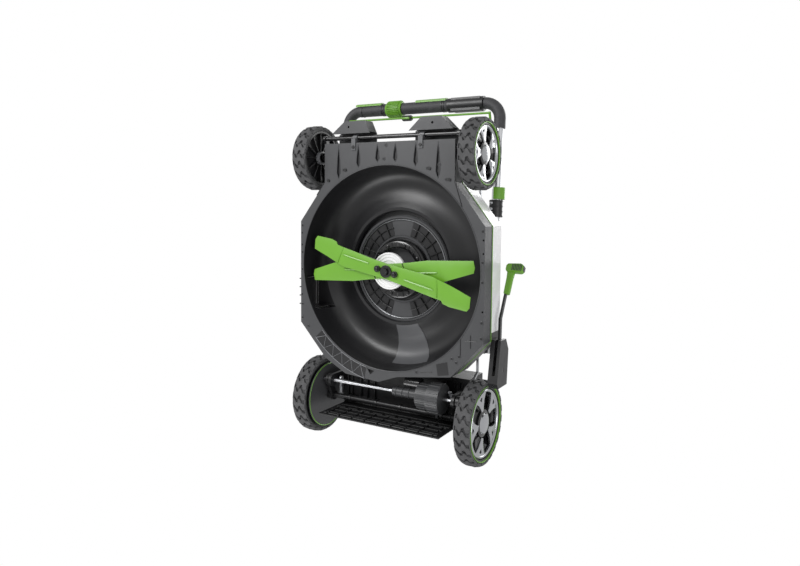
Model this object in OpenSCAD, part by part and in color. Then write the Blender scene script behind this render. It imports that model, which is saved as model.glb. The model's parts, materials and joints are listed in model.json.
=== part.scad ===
// Walk-behind rotary lawn mower, cordless and self-propelled, with its handle folded forward for storage.
// It stands on its wheels at z = 0. The front faces -Y, and +X is the operator's left.

/* [Cutting deck] */
// Diameter of the circle that the blade tips sweep
blade_circle = 518; // [480:1:630]
// Gap between the blade tips and the tunnel wall
tip_gap = 20; // [14:1:30]
// Distance of the tunnel's centre ahead of the blade's centre
scroll_shift = 8; // [0:1:10]
// Height of the deck's lower edge above the ground
deck_clear = 57; // [50:1:60]
// Depth of the tunnel from the lower edge to its roof
tunnel_depth = 100; // [92:1:110]
// Wall of the moulded deck parts
deck_wall = 3; // [2:0.5:4]
// Width of the flange beside the tunnel
flange_w = 8; // [7:1:30]
// Thickness of the flange
flange_t = 4; // [3:0.5:6]
// Height of the skirt's side above the lower edge
skirt_h = 46; // [40:1:52]
// Height of the coloured trim strip
trim_h = 3; // [2:0.5:5]
// Height of the cover's crown above the tunnel roof
crown_h = 12; // [10:1:16]

/* [Blades and motor] */
// Thickness of a blade
blade_t = 3; // [2.5:0.5:4]
// Width of a blade
blade_w = 46; // [36:1:60]
// Angle between the two blades
blade_cross = 17; // [10:1:60]
// Turn of both blades as shown, degrees
blade_turn = 4.5; // [0:0.5:90]
// Depth of the lower blade below the tunnel roof
blade_drop = 95; // [88:1:98]
// Clear height between the two blades
blade_gap = 9; // [6:1:12]
// Radius of the motor shaft
shaft_r = 10; // [8:0.5:12]
// Radius of the motor mounting plate
mount_r = 152; // [130:1:170]
// Radius of the motor shroud ring
shroud_r = 84; // [74:1:95]

/* [Wheels] */
// Diameter of the front wheels
front_d = 185; // [175:1:200]
// Diameter of the rear wheels
rear_d = 223; // [210:1:230]
// Width of a tyre
tyre_w = 46; // [36:1:50]
// Radial depth of a tyre
tyre_depth = 15; // [10:1:28]
// Radius of the stub axles
stub_r = 6; // [5:0.5:7]
// Distance from the deck's side in to the middle of a wheel
wheel_inset = 33; // [30:1:36]

/* [Cutting height] */
// Level distance from a crank's pivot back to its wheel
crank_reach = 52; // [48:1:56]
// Height of a wheel's centre above its crank's pivot
crank_rise = 22.5; // [18:0.5:26]
// Length of the crank levers that the link rod joins
link_arm = 40; // [34:1:44]
// Teeth of a drive pinion
pinion_teeth = 10; // [9:1:12]
// Teeth of the ring gear in a rear wheel
ring_teeth = 73; // [70:1:78]

/* [Handle] */
// Distance from the fold pivots to the crossbar
handle_len = 668; // [620:1:760]
// From the deck's widest edge in to the handle tubes' centres
handle_inset = 40; // [20:1:80]
// Radius of the lower tubes
tube_r = 12.5; // [11.5:0.5:13]
// Wall of the handle tubes
tube_wall = 1.5; // [1.2:0.1:2]
// Length of a lower tube from its pivot
lower_len = 432; // [380:1:450]
// Slope of the folded handle in degrees
handle_rise = 4; // [3:0.5:6]
// Height of the fold pivots above the crown of the deck
pivot_lift = 22; // [21:1:30]
// Radius of the crossbar's bends
bend_r = 45; // [36:1:60]
// Radius of the crossbar's soft grip
grip_r = 17; // [15:0.5:18]
// Radius of the speed dial
dial_r = 25; // [22:1:26]
// Width of the speed dial
dial_w = 52; // [40:1:60]

/* [Clearances] */
// Radial clearance of a turning fit
run_gap = 0.06; // [0.02:0.01:0.1]
// Clearance between parts that are fixed together
fit_gap = 0.3; // [0.1:0.1:0.6]

/* [Hidden] */
$fn = 64;
e = 0.5;

tunnel_r = blade_circle / 2 + tip_gap;
tunnel_out = tunnel_r + deck_wall;
deck_half = tunnel_out + flange_w;
handle_half = deck_half - handle_inset;
roof_z = deck_clear + tunnel_depth;
skirt_z = deck_clear + skirt_h;
dome_z = skirt_z + trim_h;
shoulder_z = roof_z + deck_wall + 3;
crown_z = roof_z + deck_wall + crown_h;
front_r = front_d / 2;
rear_r = rear_d / 2;
track = deck_half - wheel_inset;
wheel_in = track - tyre_w / 2;
front_y = -(tunnel_r + 34);
rear_y = tunnel_r + 106.5;
front_rod = [front_y - crank_reach, front_r - crank_rise];
rear_rod = [rear_y - crank_reach, rear_r - crank_rise];
crank_len = norm([crank_reach, crank_rise]);
crank_tilt = atan2(crank_rise, crank_reach);
nose_half = deck_half - 86;
nose_y = front_rod[0] + 15;
cover_end = tunnel_r - 134;
arm_in = wheel_in - 28;
arm_t = 8;
arm_out = arm_in + arm_t;
rod_r = 6;
rod_x = arm_out + 5;

blade_z = roof_z - blade_drop;
upper_blade_z = blade_z + blade_t + blade_gap;
adapter_r = 51;
adapter_z = upper_blade_z + blade_t;
adapter_t = 6;
plate_t = 8;
stator_r = 59;
bell_r = 66;
bearing_r = 20;
stator_z = roof_z + 11;
stator_h = 30;
bearing_z = roof_z + 48;
bell_z = bearing_z + 3;

house_half = 135;
house_y = [-175, cover_end - 4];
house_z = roof_z + 138;
bay = [150, 230];
bay_y = -15;
bay_z = bell_z + 9;
lid_t = 6;

duct_x = [-70, 120];
duct_top = roof_z + 81;
duct_floor = roof_z + 11;
duct_end = rear_y + 22;
frame_half = arm_in + 3;
frame_top = duct_top + 7;
bearing_plate = [arm_in - 13, arm_in - 3];
sleeve_r = 12;

module_mm = 2 * crank_len / (ring_teeth - pinion_teeth);
pinion_pr = module_mm * pinion_teeth / 2;
ring_pr = module_mm * ring_teeth / 2;
drive_r = 5;
pinion_x = [wheel_in + 4, wheel_in + 14];
gear_x = [94, 128, 165];
hub_r = 16;

pivot_y = cover_end + 60;
pivot_z = crown_z + pivot_lift;
pivot_r = 5;
cheek_t = 4;
cheek_gap = 0.5;
tail = 13;
upper_r = tube_r - tube_wall - 0.1;
upper_start = 150;
clamp_y = [356, 402];
clamp_r = 18;
latch_y = [404, 436];
latch_lift = 21;
bar_half = handle_half - bend_r;
dial_x = -81;
box_x = [95, 203];
box_r = 20;
bail_pivot = handle_len - 75;
bail_y = handle_len - 31.5;
bail_z = -20;
bail_r = 3;

lever_x = deck_half + 15;
lever_t = 6;
lever_pivot = [rear_y - 145.5, deck_clear + 68];
lever_tip = [-14, 200];
gate_x = [deck_half + 2, deck_half + 27];

door_y = [20, 138];
door_hinge = [-deck_half - 14, roof_z - 7];
door_rod_r = 3;
flap_half = arm_in - 16;
flap_rod = [rear_y + 26, roof_z - 7];
hatch_rod = [duct_end + 11, frame_top + 2];

deck_grey = [0.40, 0.41, 0.42];
deck_black = [0.10, 0.10, 0.11];
body_black = [0.13, 0.13, 0.14];
green = [0.45, 0.75, 0.25];
white = [0.90, 0.90, 0.90];
silver = [0.78, 0.79, 0.80];
steel = [0.60, 0.61, 0.63];
tyre_black = [0.16, 0.16, 0.17];

// A block from one corner to the opposite corner.
module block(low, high) {
    translate(low) cube(high - low);
}

// A round bar along X between two places.
module bar_x(x1, x2, y, z, r) {
    translate([x1, y, z]) rotate([0, 90, 0]) cylinder(r = r, h = x2 - x1);
}

// The same piece on the left (+X) and on the right.
module both_sides() {
    children();
    mirror([1, 0, 0]) children();
}

// A profile drawn as [y, z], given a width along X from x1 to x2.
module along_x(x1, x2) {
    translate([x1, 0, 0]) rotate([90, 0, 90]) linear_extrude(x2 - x1) children();
}

// A flat web of thickness t from x, between two points [y, z], with round ends.
module crank_web(x, t, a, b, ra, rb, w) {
    d = b - a;
    along_x(x, x + t) {
        translate(a) circle(r = ra);
        translate(b) circle(r = rb);
        translate(a) rotate(atan2(d[1], d[0])) translate([0, -w / 2]) square([norm(d), w]);
    }
}

// ---- deck ----

// Outline of the deck's lower edge: eight sides at the front and sides, and a stepped rear edge.
module deck_outline() {
    polygon([
        [nose_half, nose_y], [nose_half, front_y + 72], [deck_half, front_y + 183],
        [deck_half, rear_y - 220], [deck_half - 90, rear_y - 123.5],
        [40, tunnel_out + 2], [-20, tunnel_out + 24], [-130, tunnel_out + 16],
        [-(deck_half - 90), rear_y - 123.5], [-deck_half, rear_y - 220],
        [-deck_half, front_y + 183], [-nose_half, front_y + 72], [-nose_half, nose_y]
    ]);
}

// The dome above the skirt, drawn in by the given wall.
module dome(wall) {
    for (part = [0, 1]) hull() {
        translate([0, 0, dome_z - (wall > 0 ? e : 0)])
            linear_extrude(shoulder_z - dome_z) offset(delta = -wall) deck_part(part);
        translate([0, 0, crown_z - wall - e])
            linear_extrude(e) offset(delta = -9 - wall) deck_part(part);
    }
}

// The outline's two convex parts: the nose, and the rest.
module deck_part(part) {
    intersection() {
        deck_outline();
        translate([-400, part == 0 ? front_y + 72 : nose_y - 1]) square([800, 800]);
        if (part == 1) translate([-nose_half, nose_y - 1]) square([2 * nose_half, 500]);
    }
}

module dome_shell() {
    difference() {
        dome(0);
        dome(deck_wall);
    }
}

// The path of the clippings: from the tunnel's rear wall up and back to the rear door.
module duct_profile() {
    polygon([
        [cover_end + 5, roof_z - 7], [cover_end + 45, duct_top], [duct_end, duct_top],
        [duct_end, duct_floor], [tunnel_out + 20, duct_floor], [tunnel_out - 32, roof_z - 39],
        [cover_end + 5, roof_z - 39]
    ]);
}

// The side discharge opening through the tunnel's wall, the skirt and the cover.
module side_mouth() {
    block([-deck_half - 20, door_y[0] + 8, deck_clear + 11], [-200, door_y[1] - 8, roof_z - 17]);
}

module housing_hole() {
    block([-house_half - fit_gap, house_y[0] - fit_gap, roof_z],
        [house_half + fit_gap, house_y[1] + fit_gap, house_z]);
}

module deck_shell() {
    color(deck_black) difference() {
        union() {
            translate([0, -scroll_shift, deck_clear]) cylinder(r = tunnel_out, h = tunnel_depth + deck_wall);
            along_x(duct_x[0] - deck_wall, duct_x[1] + deck_wall) offset(delta = deck_wall) duct_profile();
        }
        translate([0, -scroll_shift, deck_clear - e]) cylinder(r = tunnel_r, h = tunnel_depth + e);
        along_x(duct_x[0], duct_x[1]) duct_profile();
        block([duct_x[0] - 10, duct_end, roof_z], [duct_x[1] + 10, duct_end + 10, duct_top + 10]);
        cylinder(r = mount_r - 10, h = house_z);
        for (a = [0:90:270]) translate([plate_screw_r * cos(a + 45), plate_screw_r * sin(a + 45), roof_z - 1])
            cylinder(r = screw_r + 0.1, h = 10);
        side_mouth();
    }
}

// A pointed drop-shaped slot from its front point to its wide rear end.
module drop_slot(x, y1, y2, w) {
    translate([x, 0, 0]) polygon([
        [0, y1], [w * 0.35, y1 + (y2 - y1) * 0.45], [w / 2, y1 + (y2 - y1) * 0.8],
        [0, y2], [-w / 2, y1 + (y2 - y1) * 0.8], [-w * 0.35, y1 + (y2 - y1) * 0.45]
    ]);
}

// Where the flange carries screws.
function tunnel_edge(x) = sqrt(tunnel_out * tunnel_out - x * x);
side_hole_x = deck_half - flange_w / 2;
screw_holes = [
    for (s = [-1, 1], p = [[132, front_y + 37], [nose_half - 14, front_y + 66], [side_hole_x, -96],
        [side_hole_x, -62], [side_hole_x, 84]]) [s * p[0], p[1]]
];
screw_r = 2.2;

module deck_skirt() {
    truss_r = [tunnel_out + 5, tunnel_out + 19];
    truss_step = 6;
    color(deck_grey) difference() {
        translate([0, 0, deck_clear]) union() {
            linear_extrude(flange_t) deck_outline();
            linear_extrude(skirt_h) difference() {
                deck_outline();
                offset(delta = -deck_wall) deck_outline();
            }
        }
        translate([0, -scroll_shift, deck_clear - e]) cylinder(r = tunnel_out + fit_gap / 2, h = skirt_h + 1);
        block([-house_half - 15, tunnel_out + 1, deck_clear + flange_t], [frame_half, rear_y, roof_z]);
        translate([0, 0, deck_clear - e]) linear_extrude(flange_t + 1) {
            for (s = [-1, 1], x = [28, 90, 156])
                drop_slot(s * x, nose_y + 5, -scroll_shift - tunnel_edge(x) - 7, 13);
            for (p = screw_holes) translate(p) circle(r = screw_r + fit_gap);
            for (k = [0:4]) translate([0, -scroll_shift]) {
                a = 96 + k * truss_step;
                flip = k % 2;
                polygon([
                    truss_r[flip] * [cos(a + 0.5), sin(a + 0.5)],
                    truss_r[flip] * [cos(a + truss_step - 0.5), sin(a + truss_step - 0.5)],
                    truss_r[1 - flip] * [cos(a + truss_step / 2), sin(a + truss_step / 2)]
                ]);
            }
        }
        for (s = [-1, 1]) translate([s * clip_x, nose_y + 12, deck_clear - e]) cylinder(r = screw_r + fit_gap, h = 10);
        side_mouth();
    }
}

bumper_hole = [[-123, front_rod[0] - 29], [138, front_rod[0] - 29]];
bumper_hole_r = 3.2;

// The trapezoid of one bumper plate: inner and outer x at the back and at the front.
module bumper_outline(back, front) {
    polygon([[back[0], front_rod[0] - 11], [front[0], front_rod[0] - 45],
        [front[1], front_rod[0] - 45], [back[1], front_rod[0] - 11]]);
}

module bumper(back, front, hole) {
    drop = 40;
    difference() {
        union() {
            translate([0, 0, deck_clear]) linear_extrude(flange_t) bumper_outline(back, front);
            translate([0, 0, deck_clear]) linear_extrude(drop) difference() {
                bumper_outline(back, front);
                offset(delta = -deck_wall) bumper_outline(back, front);
                translate([back[0], front_rod[0] - 15]) square([back[1] - back[0], 20]);
            }
            translate([0, 0, deck_clear + drop - deck_wall]) linear_extrude(deck_wall) {
                bumper_outline(back, front);
                translate([back[0], front_rod[0] - 12])
                    square([back[1] - back[0], nose_y - front_rod[0] + 12 - 0.2]);
            }
        }
        translate([hole[0], hole[1], deck_clear - e]) cylinder(r = bumper_hole_r, h = flange_t + 1);
    }
}

module bumper_plates() {
    color(deck_grey) {
        bumper([-180, -54], [-136, -70], bumper_hole[0]);
        bumper([68, 198], [105, 163], bumper_hole[1]);
    }
}

module top_cover() {
    ear = door_hinge;
    color(white) {
        difference() {
            dome_shell();
            block([-400, cover_end, 0], [400, 500, 400]);
            housing_hole();
            side_mouth();
        }
        for (y = [door_y[0], door_y[1] - 8]) difference() {
            union() {
                block([ear[0], y, ear[1] - 6], [-deck_half + 0.2, y + 8, ear[1] + 7]);
                translate([ear[0], y, ear[1]]) rotate([-90, 0, 0]) cylinder(r = 7, h = 8);
            }
            translate([ear[0], y - e, ear[1]]) rotate([-90, 0, 0]) cylinder(r = door_rod_r, h = 9);
        }
    }
}

module trim_strip() {
    color(green) translate([0, 0, skirt_z]) difference() {
        linear_extrude(trim_h) difference() {
            offset(delta = 1) deck_outline();
            offset(delta = -deck_wall) deck_outline();
        }
        translate([0, 0, -skirt_z]) side_mouth();
        block([-house_half - 15, tunnel_out + 1 - 12, -e], [frame_half, rear_y, trim_h + e]);
    }
}

module duct_clearance() {
    along_x(duct_x[0] - deck_wall - fit_gap, duct_x[1] + deck_wall + fit_gap)
        offset(delta = deck_wall + fit_gap) duct_profile();
}

module rear_frame() {
    tower = tunnel_out + 8;
    color(body_black) {
        difference() {
            dome_shell();
            block([-400, -500, 0], [400, cover_end + fit_gap, 400]);
            duct_clearance();
            block([-frame_half, tower, 0], [frame_half, 500, 400]);
        }
        difference() {
            block([-frame_half, tower, roof_z + 1], [frame_half, duct_end, frame_top]);
            block([-frame_half + deck_wall, tower + deck_wall, roof_z + 1 + deck_wall],
                [frame_half - deck_wall, duct_end - deck_wall, frame_top - deck_wall]);
            duct_clearance();
            block([duct_x[0] - 4, duct_end - 10, duct_floor - 4], [duct_x[1] + 4, duct_end + 1, duct_top + 3.5]);
        }
        both_sides() difference() {
            union() {
                bar_x(bearing_plate[0], bearing_plate[1], rear_rod[0], rear_rod[1], sleeve_r + 6);
                block([bearing_plate[0], rear_rod[0] - 18, rear_rod[1]],
                    [bearing_plate[1], rear_rod[0] + 8, roof_z + 1]);
            }
            bar_x(bearing_plate[0] - 1, bearing_plate[1] + 1, rear_rod[0], rear_rod[1], sleeve_r + run_gap);
        }
        both_sides() difference() {
            block([flap_half + 2, duct_end - 14, flap_rod[1] - 6],
                [flap_half + 6, flap_rod[0] + 6, roof_z + 3]);
            bar_x(flap_half, flap_half + 8, flap_rod[0], flap_rod[1], door_rod_r);
        }
        for (x = [duct_x[0] - 14, duct_x[1] + 8]) difference() {
            block([x, duct_end, hatch_rod[1] - 12], [x + 6, hatch_rod[0] + 6, hatch_rod[1] + 6]);
            bar_x(x - 1, x + 7, hatch_rod[0], hatch_rod[1], door_rod_r);
        }
    }
}

module axle_clips() {
    color(steel) for (s = [-1, 1]) translate([s * clip_x, 0, 0]) difference() {
        union() {
            bar_x(-clip_w / 2, clip_w / 2, front_rod[0], front_rod[1], rod_r + 3);
            block([-clip_w / 2, front_rod[0] + 3, deck_clear - 3], [clip_w / 2, nose_y - 0.3, front_rod[1]]);
            block([-clip_w / 2, front_rod[0] + 3, deck_clear - 3], [clip_w / 2, nose_y + 20, deck_clear - 0.2]);
        }
        bar_x(-clip_w, clip_w, front_rod[0], front_rod[1], rod_r + run_gap);
        translate([0, nose_y + 12, 0]) cylinder(r = screw_r + fit_gap, h = 100);
    }
}
clip_x = 105;
clip_w = 13;

// Pan-head screws: two in the axle clips, four in the motor plate, and those of the flange.
module pan_screw(at, long) {
    translate(at) {
        translate([0, 0, -2.5]) cylinder(r = 4.2, h = 2.5);
        cylinder(r = screw_r, h = long);
    }
}

module screws() {
    color(steel) {
        for (s = [-1, 1]) pan_screw([s * clip_x, nose_y + 12, deck_clear - 3], 12);
        for (p = screw_holes) if (abs(p[0]) < nose_half) pan_screw([p[0], p[1], deck_clear], 12);
        for (a = [0:90:270]) pan_screw([plate_screw_r * cos(a + 45), plate_screw_r * sin(a + 45),
            roof_z - plate_t], plate_t + 6);
    }
}
plate_screw_r = mount_r - 6;

// ---- motor and blades ----

module mount_plate() {
    ring_in = shroud_r + 12;
    ring_out = mount_r - 14;
    color(deck_grey) difference() {
        union() {
            translate([0, 0, roof_z - plate_t]) cylinder(r = mount_r, h = plate_t);
            cylinder_tube(bearing_r, shaft_r, roof_z - plate_t - 9, bearing_z);
        }
        translate([0, 0, roof_z - plate_t - e]) linear_extrude(plate_t - deck_wall + e) for (q = [0:90:270])
            rotate(q) for (k = [0:3]) {
                a = 16 + k * 15;
                polygon([ring_in * [cos(a), sin(a)], ring_out * [cos(a), sin(a)],
                    ring_out * [cos(a + 12.5), sin(a + 12.5)], ring_in * [cos(a + 12.5), sin(a + 12.5)]]);
            }
        translate([0, 0, 0]) cylinder(r = shaft_r + run_gap, h = house_z);
        for (a = [0:90:270]) translate([plate_screw_r * cos(a + 45), plate_screw_r * sin(a + 45), roof_z - 20])
            cylinder(r = screw_r + 0.05, h = 30);
    }
}

// A tube about the blade axis from z1 to z2.
module cylinder_tube(ro, ri, z1, z2) {
    translate([0, 0, z1]) difference() {
        cylinder(r = ro, h = z2 - z1);
        translate([0, 0, -e]) cylinder(r = ri, h = z2 - z1 + 1);
    }
}

module motor_shroud() {
    color(deck_black) rotate_extrude($fn = 96) polygon([
        [adapter_r + 9, roof_z - plate_t - 22], [shroud_r - 4, roof_z - plate_t - 22],
        [shroud_r, roof_z - plate_t - 18], [shroud_r, roof_z - plate_t - 0.1],
        [shroud_r - 4, roof_z - plate_t - 0.1], [shroud_r - 4, roof_z - plate_t - 18],
        [adapter_r + 9, roof_z - plate_t - 18]
    ]);
}

// Laminated core with twelve wound teeth.
module motor_stator() {
    color(steel) translate([0, 0, stator_z]) difference() {
        cylinder(r = stator_r, h = stator_h);
        translate([0, 0, -e]) cylinder(r = bearing_r + 0.1, h = stator_h + 1);
        for (a = [0:30:330]) rotate(a) translate([bearing_r + 12, -3, -e])
            cube([stator_r - bearing_r - 16, 6, stator_h + 1]);
        for (a = [0:30:330]) rotate(a) translate([stator_r - 5, -1.2, -e]) cube([10, 2.4, stator_h + 1]);
    }
}

module motor_rotor() {
    color(steel) {
        translate([0, 0, adapter_z + 1]) cylinder(r = shaft_r, h = bell_z - adapter_z + 3);
        cylinder_tube(bell_r, stator_r + 2, stator_z - 5, bell_z);
        cylinder_tube(bell_r, shaft_r - 1, bell_z, bell_z + 4);
    }
}

module blade_adapter() {
    color(white) {
        difference() {
            translate([0, 0, adapter_z]) cylinder(r = adapter_r, h = adapter_t);
            translate([0, 0, adapter_z + 1]) cylinder(r = shaft_r, h = adapter_t);
            stud_places() translate([0, 0, adapter_z - e]) cylinder(r = stud_r, h = adapter_t + 1);
            cylinder(r = bolt_r, h = roof_z);
        }
        difference() {
            cylinder_tube(17, bolt_r, blade_z + blade_t, upper_blade_z);
            stud_places() translate([0, 0, blade_z]) cylinder(r = stud_r + fit_gap, h = 20);
        }
    }
}
bolt_r = 5;
stud_r = 4;
stud_x = 28;

module stud_places() {
    rotate(blade_turn + blade_cross / 2) for (s = [-1, 1]) translate([s * stud_x, 0, 0]) children();
}

// A flat cutting blade with cropped ends and, on the lower one, raised wing tips.
module blade_plan(long, tip_w) {
    polygon([
        [-long, -tip_w * 0.1], [-long + 22, -blade_w / 2], [-long * 0.45, -blade_w / 2],
        [-long * 0.3, -blade_w * 0.36], [long * 0.3, -blade_w * 0.36], [long * 0.45, -blade_w * 0.5],
        [long, -blade_w * 0.5], [long, tip_w * 0.1], [long - 22, blade_w / 2], [long * 0.45, blade_w / 2],
        [long * 0.3, blade_w * 0.36], [-long * 0.3, blade_w * 0.36], [-long * 0.45, blade_w * 0.5],
        [-long, blade_w * 0.5]
    ]);
}

module blade_bores(z) {
    translate([0, 0, z - e]) cylinder(r = bolt_r, h = blade_t + 1);
    stud_places() translate([0, 0, z - e]) cylinder(r = stud_r, h = blade_t + 1);
}
blade_reach = blade_circle / 2 * 0.993;

module lower_blade() {
    wing = [46, 11];
    color(green) rotate(blade_turn + blade_cross / 2) difference() {
        union() {
            translate([0, 0, blade_z]) linear_extrude(blade_t) blade_plan(blade_reach, blade_w);
            for (s = [0, 180]) rotate(s) translate([0, 0, blade_z])
                rotate([90, 0, 0]) translate([0, 0, -blade_w / 2])
                linear_extrude(16) polygon([[blade_reach - wing[0] - 10, blade_t - 0.2],
                    [blade_reach - 28, wing[1]], [blade_reach - 28, wing[1] - 4],
                    [blade_reach - wing[0], 0.2]]);
        }
        rotate(-blade_turn - blade_cross / 2) blade_bores(blade_z);
    }
}

module upper_blade() {
    color(green) difference() {
        translate([0, 0, upper_blade_z]) rotate(blade_turn - blade_cross / 2) mirror([0, 1, 0])
            linear_extrude(blade_t) blade_plan(blade_reach, blade_w * 0.8);
        blade_bores(upper_blade_z);
    }
}

module blade_bolt() {
    color(deck_black) {
        translate([0, 0, blade_z - 4]) cylinder(r = 17, h = 4);
        translate([0, 0, blade_z - 12]) cylinder(r = 10, h = 8, $fn = 6);
        translate([0, 0, blade_z - 4]) cylinder(r = bolt_r, h = adapter_z - blade_z + 5);
    }
}

module blade_studs() {
    color(deck_black) stud_places() {
        translate([0, 0, blade_z - 6]) cylinder(r = 9, h = 6);
        translate([0, 0, blade_z]) cylinder(r = stud_r, h = adapter_z + adapter_t - blade_z - 0.2);
    }
}

// ---- power housing ----

module power_housing() {
    out = [[-house_half, house_y[0]], [house_half, house_y[1]]];
    bay_low = [-bay[0] / 2, bay_y - bay[1] / 2];
    color(body_black) difference() {
        union() {
            translate([0, 0, roof_z + deck_wall + 0.2]) linear_extrude(house_z - roof_z - deck_wall - 0.2)
                rounded_box(out[0], out[1], 26);
            hinge_ears();
        }
        translate([0, 0, roof_z]) linear_extrude(bay_z - roof_z - deck_wall)
            rounded_box(out[0] + [4, 4], out[1] - [4, 4], 22);
        translate([bay_low[0], bay_low[1], bay_z]) cube([bay[0], bay[1], 200]);
        translate([0, 0, bay_z]) linear_extrude(house_z - bay_z - 4) difference() {
            rounded_box(out[0] + [4, 4], out[1] - [4, 4], 22);
            translate(bay_low - [4, 4]) square([bay[0] + 8, bay[1] + 8]);
        }
        bar_x(-80, 80, lid_hinge[0], lid_hinge[1], door_rod_r);
    }
}
lid_hinge = [bay_y + bay[1] / 2 + 12, house_z + 7];

module hinge_ears() {
    for (s = [-1, 1]) translate([s * 62, 0, 0]) {
        block([-4, lid_hinge[0] - 6, house_z - 1], [4, lid_hinge[0] + 6, lid_hinge[1]]);
        bar_x(-4, 4, lid_hinge[0], lid_hinge[1], 6);
    }
}

module rounded_box(low, high, r) {
    for (x = [low[0] + r, high[0] - r], y = [low[1] + r, high[1] - r]) translate([x, y]) circle(r = r);
    translate([low[0] + r, low[1]]) square([high[0] - low[0] - 2 * r, high[1] - low[1]]);
    translate([low[0], low[1] + r]) square([high[0] - low[0], high[1] - low[1] - 2 * r]);
}

module battery() {
    low = [-bay[0] / 2 + 1, bay_y - bay[1] / 2 + 1];
    color(deck_grey) difference() {
        translate([0, 0, bay_z + 0.3]) linear_extrude(house_z - bay_z - 6)
            rounded_box(low, low + [bay[0] - 2, bay[1] - 2], 12);
        for (s = [-1, 1]) translate([s * 45 - 12, bay_y - 40, house_z - 26]) cube([24, 80, 30]);
    }
}

module battery_lid() {
    low = [-bay[0] / 2 - 6, bay_y - bay[1] / 2 - 8];
    color(body_black) difference() {
        union() {
            translate([0, 0, house_z + 0.3]) linear_extrude(lid_t)
                rounded_box(low, [-low[0], lid_hinge[0] - 8], 14);
            bar_x(-55, 55, lid_hinge[0], lid_hinge[1], 5.5);
            block([-54, lid_hinge[0] - 14, house_z + 1], [54, lid_hinge[0], house_z + 0.3 + lid_t]);
        }
        bar_x(-60, 60, lid_hinge[0], lid_hinge[1], door_rod_r + run_gap);
    }
}

// Closes the duct for mulching: a hollow block with a sloped face towards the tunnel.
module discharge_plug() {
    gap = 1;
    color(deck_grey) difference() {
        along_x(duct_x[0] + gap, duct_x[1] - gap) offset(delta = -gap) intersection() {
            duct_profile();
            polygon([[cover_end + 56, roof_z - 12], [cover_end + 70, duct_top], [duct_end, duct_top],
                [duct_end, duct_floor], [tunnel_out + 20, duct_floor], [tunnel_out - 32, roof_z - 39]]);
        }
        block([duct_x[0] + 5, tunnel_out + 24, duct_floor + 6], [duct_x[1] - 5, 500, duct_top - 6]);
    }
}

// ---- brackets, rods and doors ----

module handle_brackets() {
    color(body_black) both_sides() {
        block([handle_half - 21, pivot_y - 55, crown_z + 0.2], [handle_half + 21, pivot_y - 21, crown_z + 4]);
        for (x = [-tube_r - cheek_gap - cheek_t, tube_r + cheek_gap]) translate([handle_half + x, 0, 0])
            difference() {
                union() {
                    bar_x(0, cheek_t, pivot_y, pivot_z, 17);
                    along_x(0, cheek_t) polygon([
                        [pivot_y - 55, crown_z + 3], [pivot_y - 55, crown_z + 10], [pivot_y - 14, pivot_z + 10],
                        [pivot_y, pivot_z - 16], [pivot_y - 4, crown_z + 3]
                    ]);
                }
                bar_x(-1, cheek_t + 1, pivot_y, pivot_z, pivot_r + 0.05);
            }
    }
}

module pivot_bolts() {
    reach = tube_r + cheek_gap + cheek_t;
    color(steel) both_sides() {
        bar_x(handle_half - reach - 4.2, handle_half + reach + 0.2, pivot_y, pivot_z, pivot_r);
        bar_x(handle_half + reach + 0.2, handle_half + reach + 5, pivot_y, pivot_z, 9);
        translate([handle_half - reach - 4.6, pivot_y, pivot_z]) rotate([0, 90, 0]) difference() {
            cylinder(r = 8.5, h = 4.4, $fn = 6);
            translate([0, 0, -e]) cylinder(r = pivot_r, h = 6);
        }
    }
}

module lever_gate() {
    low = deck_clear + 28;
    high = deck_clear + 104;
    y = [lever_pivot[0] - 78, lever_pivot[0] + 44];
    color(body_black) difference() {
        along_x(gate_x[0] - 1.8, gate_x[1]) polygon([
            [y[0], low + 22], [y[0], high - 18], [y[0] + 30, high], [y[1], high - 8], [y[1], low + 10], [y[1] - 14, low]
        ]);
        block([lever_x - lever_t / 2 - 1, y[0] - 1, low + 4], [lever_x + lever_t / 2 + 1, y[1] - 5, high + 1]);
        bar_x(gate_x[0] - 3, gate_x[1] + 1, lever_pivot[0], lever_pivot[1], 5);
    }
}

// Rods of the side door, the trailing shield, the rear door and the battery lid.
module door_rods() {
    color(steel) {
        translate([door_hinge[0], door_y[0] - 2, door_hinge[1]]) rotate([-90, 0, 0])
            cylinder(r = door_rod_r, h = door_y[1] - door_y[0] + 4);
        bar_x(-flap_half - 8, flap_half + 8, flap_rod[0], flap_rod[1], door_rod_r);
        bar_x(duct_x[0] - 26, duct_x[1] + 26, hatch_rod[0], hatch_rod[1], door_rod_r);
        bar_x(-68, 68, lid_hinge[0], lid_hinge[1], door_rod_r);
    }
}

module side_door() {
    y = [door_y[0] + 9, door_y[1] - 9];
    color(body_black) difference() {
        union() {
            translate([0, y[1], 0]) rotate([90, 0, 0]) linear_extrude(y[1] - y[0]) polygon([
                [door_hinge[0] - 5, door_hinge[1]], [door_hinge[0] + 3, door_hinge[1] - 3],
                [-deck_half - 4, door_hinge[1] - 16], [-deck_half - 1.2, deck_clear + 8],
                [-deck_half - 5, deck_clear + 8], [-deck_half - 8, door_hinge[1] - 18]
            ]);
            translate([door_hinge[0], y[0], door_hinge[1]]) rotate([-90, 0, 0]) cylinder(r = 6.5, h = y[1] - y[0]);
        }
        translate([door_hinge[0], 0, door_hinge[1]]) rotate([-90, 0, 0]) cylinder(r = door_rod_r + run_gap, h = 300);
    }
}

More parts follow.
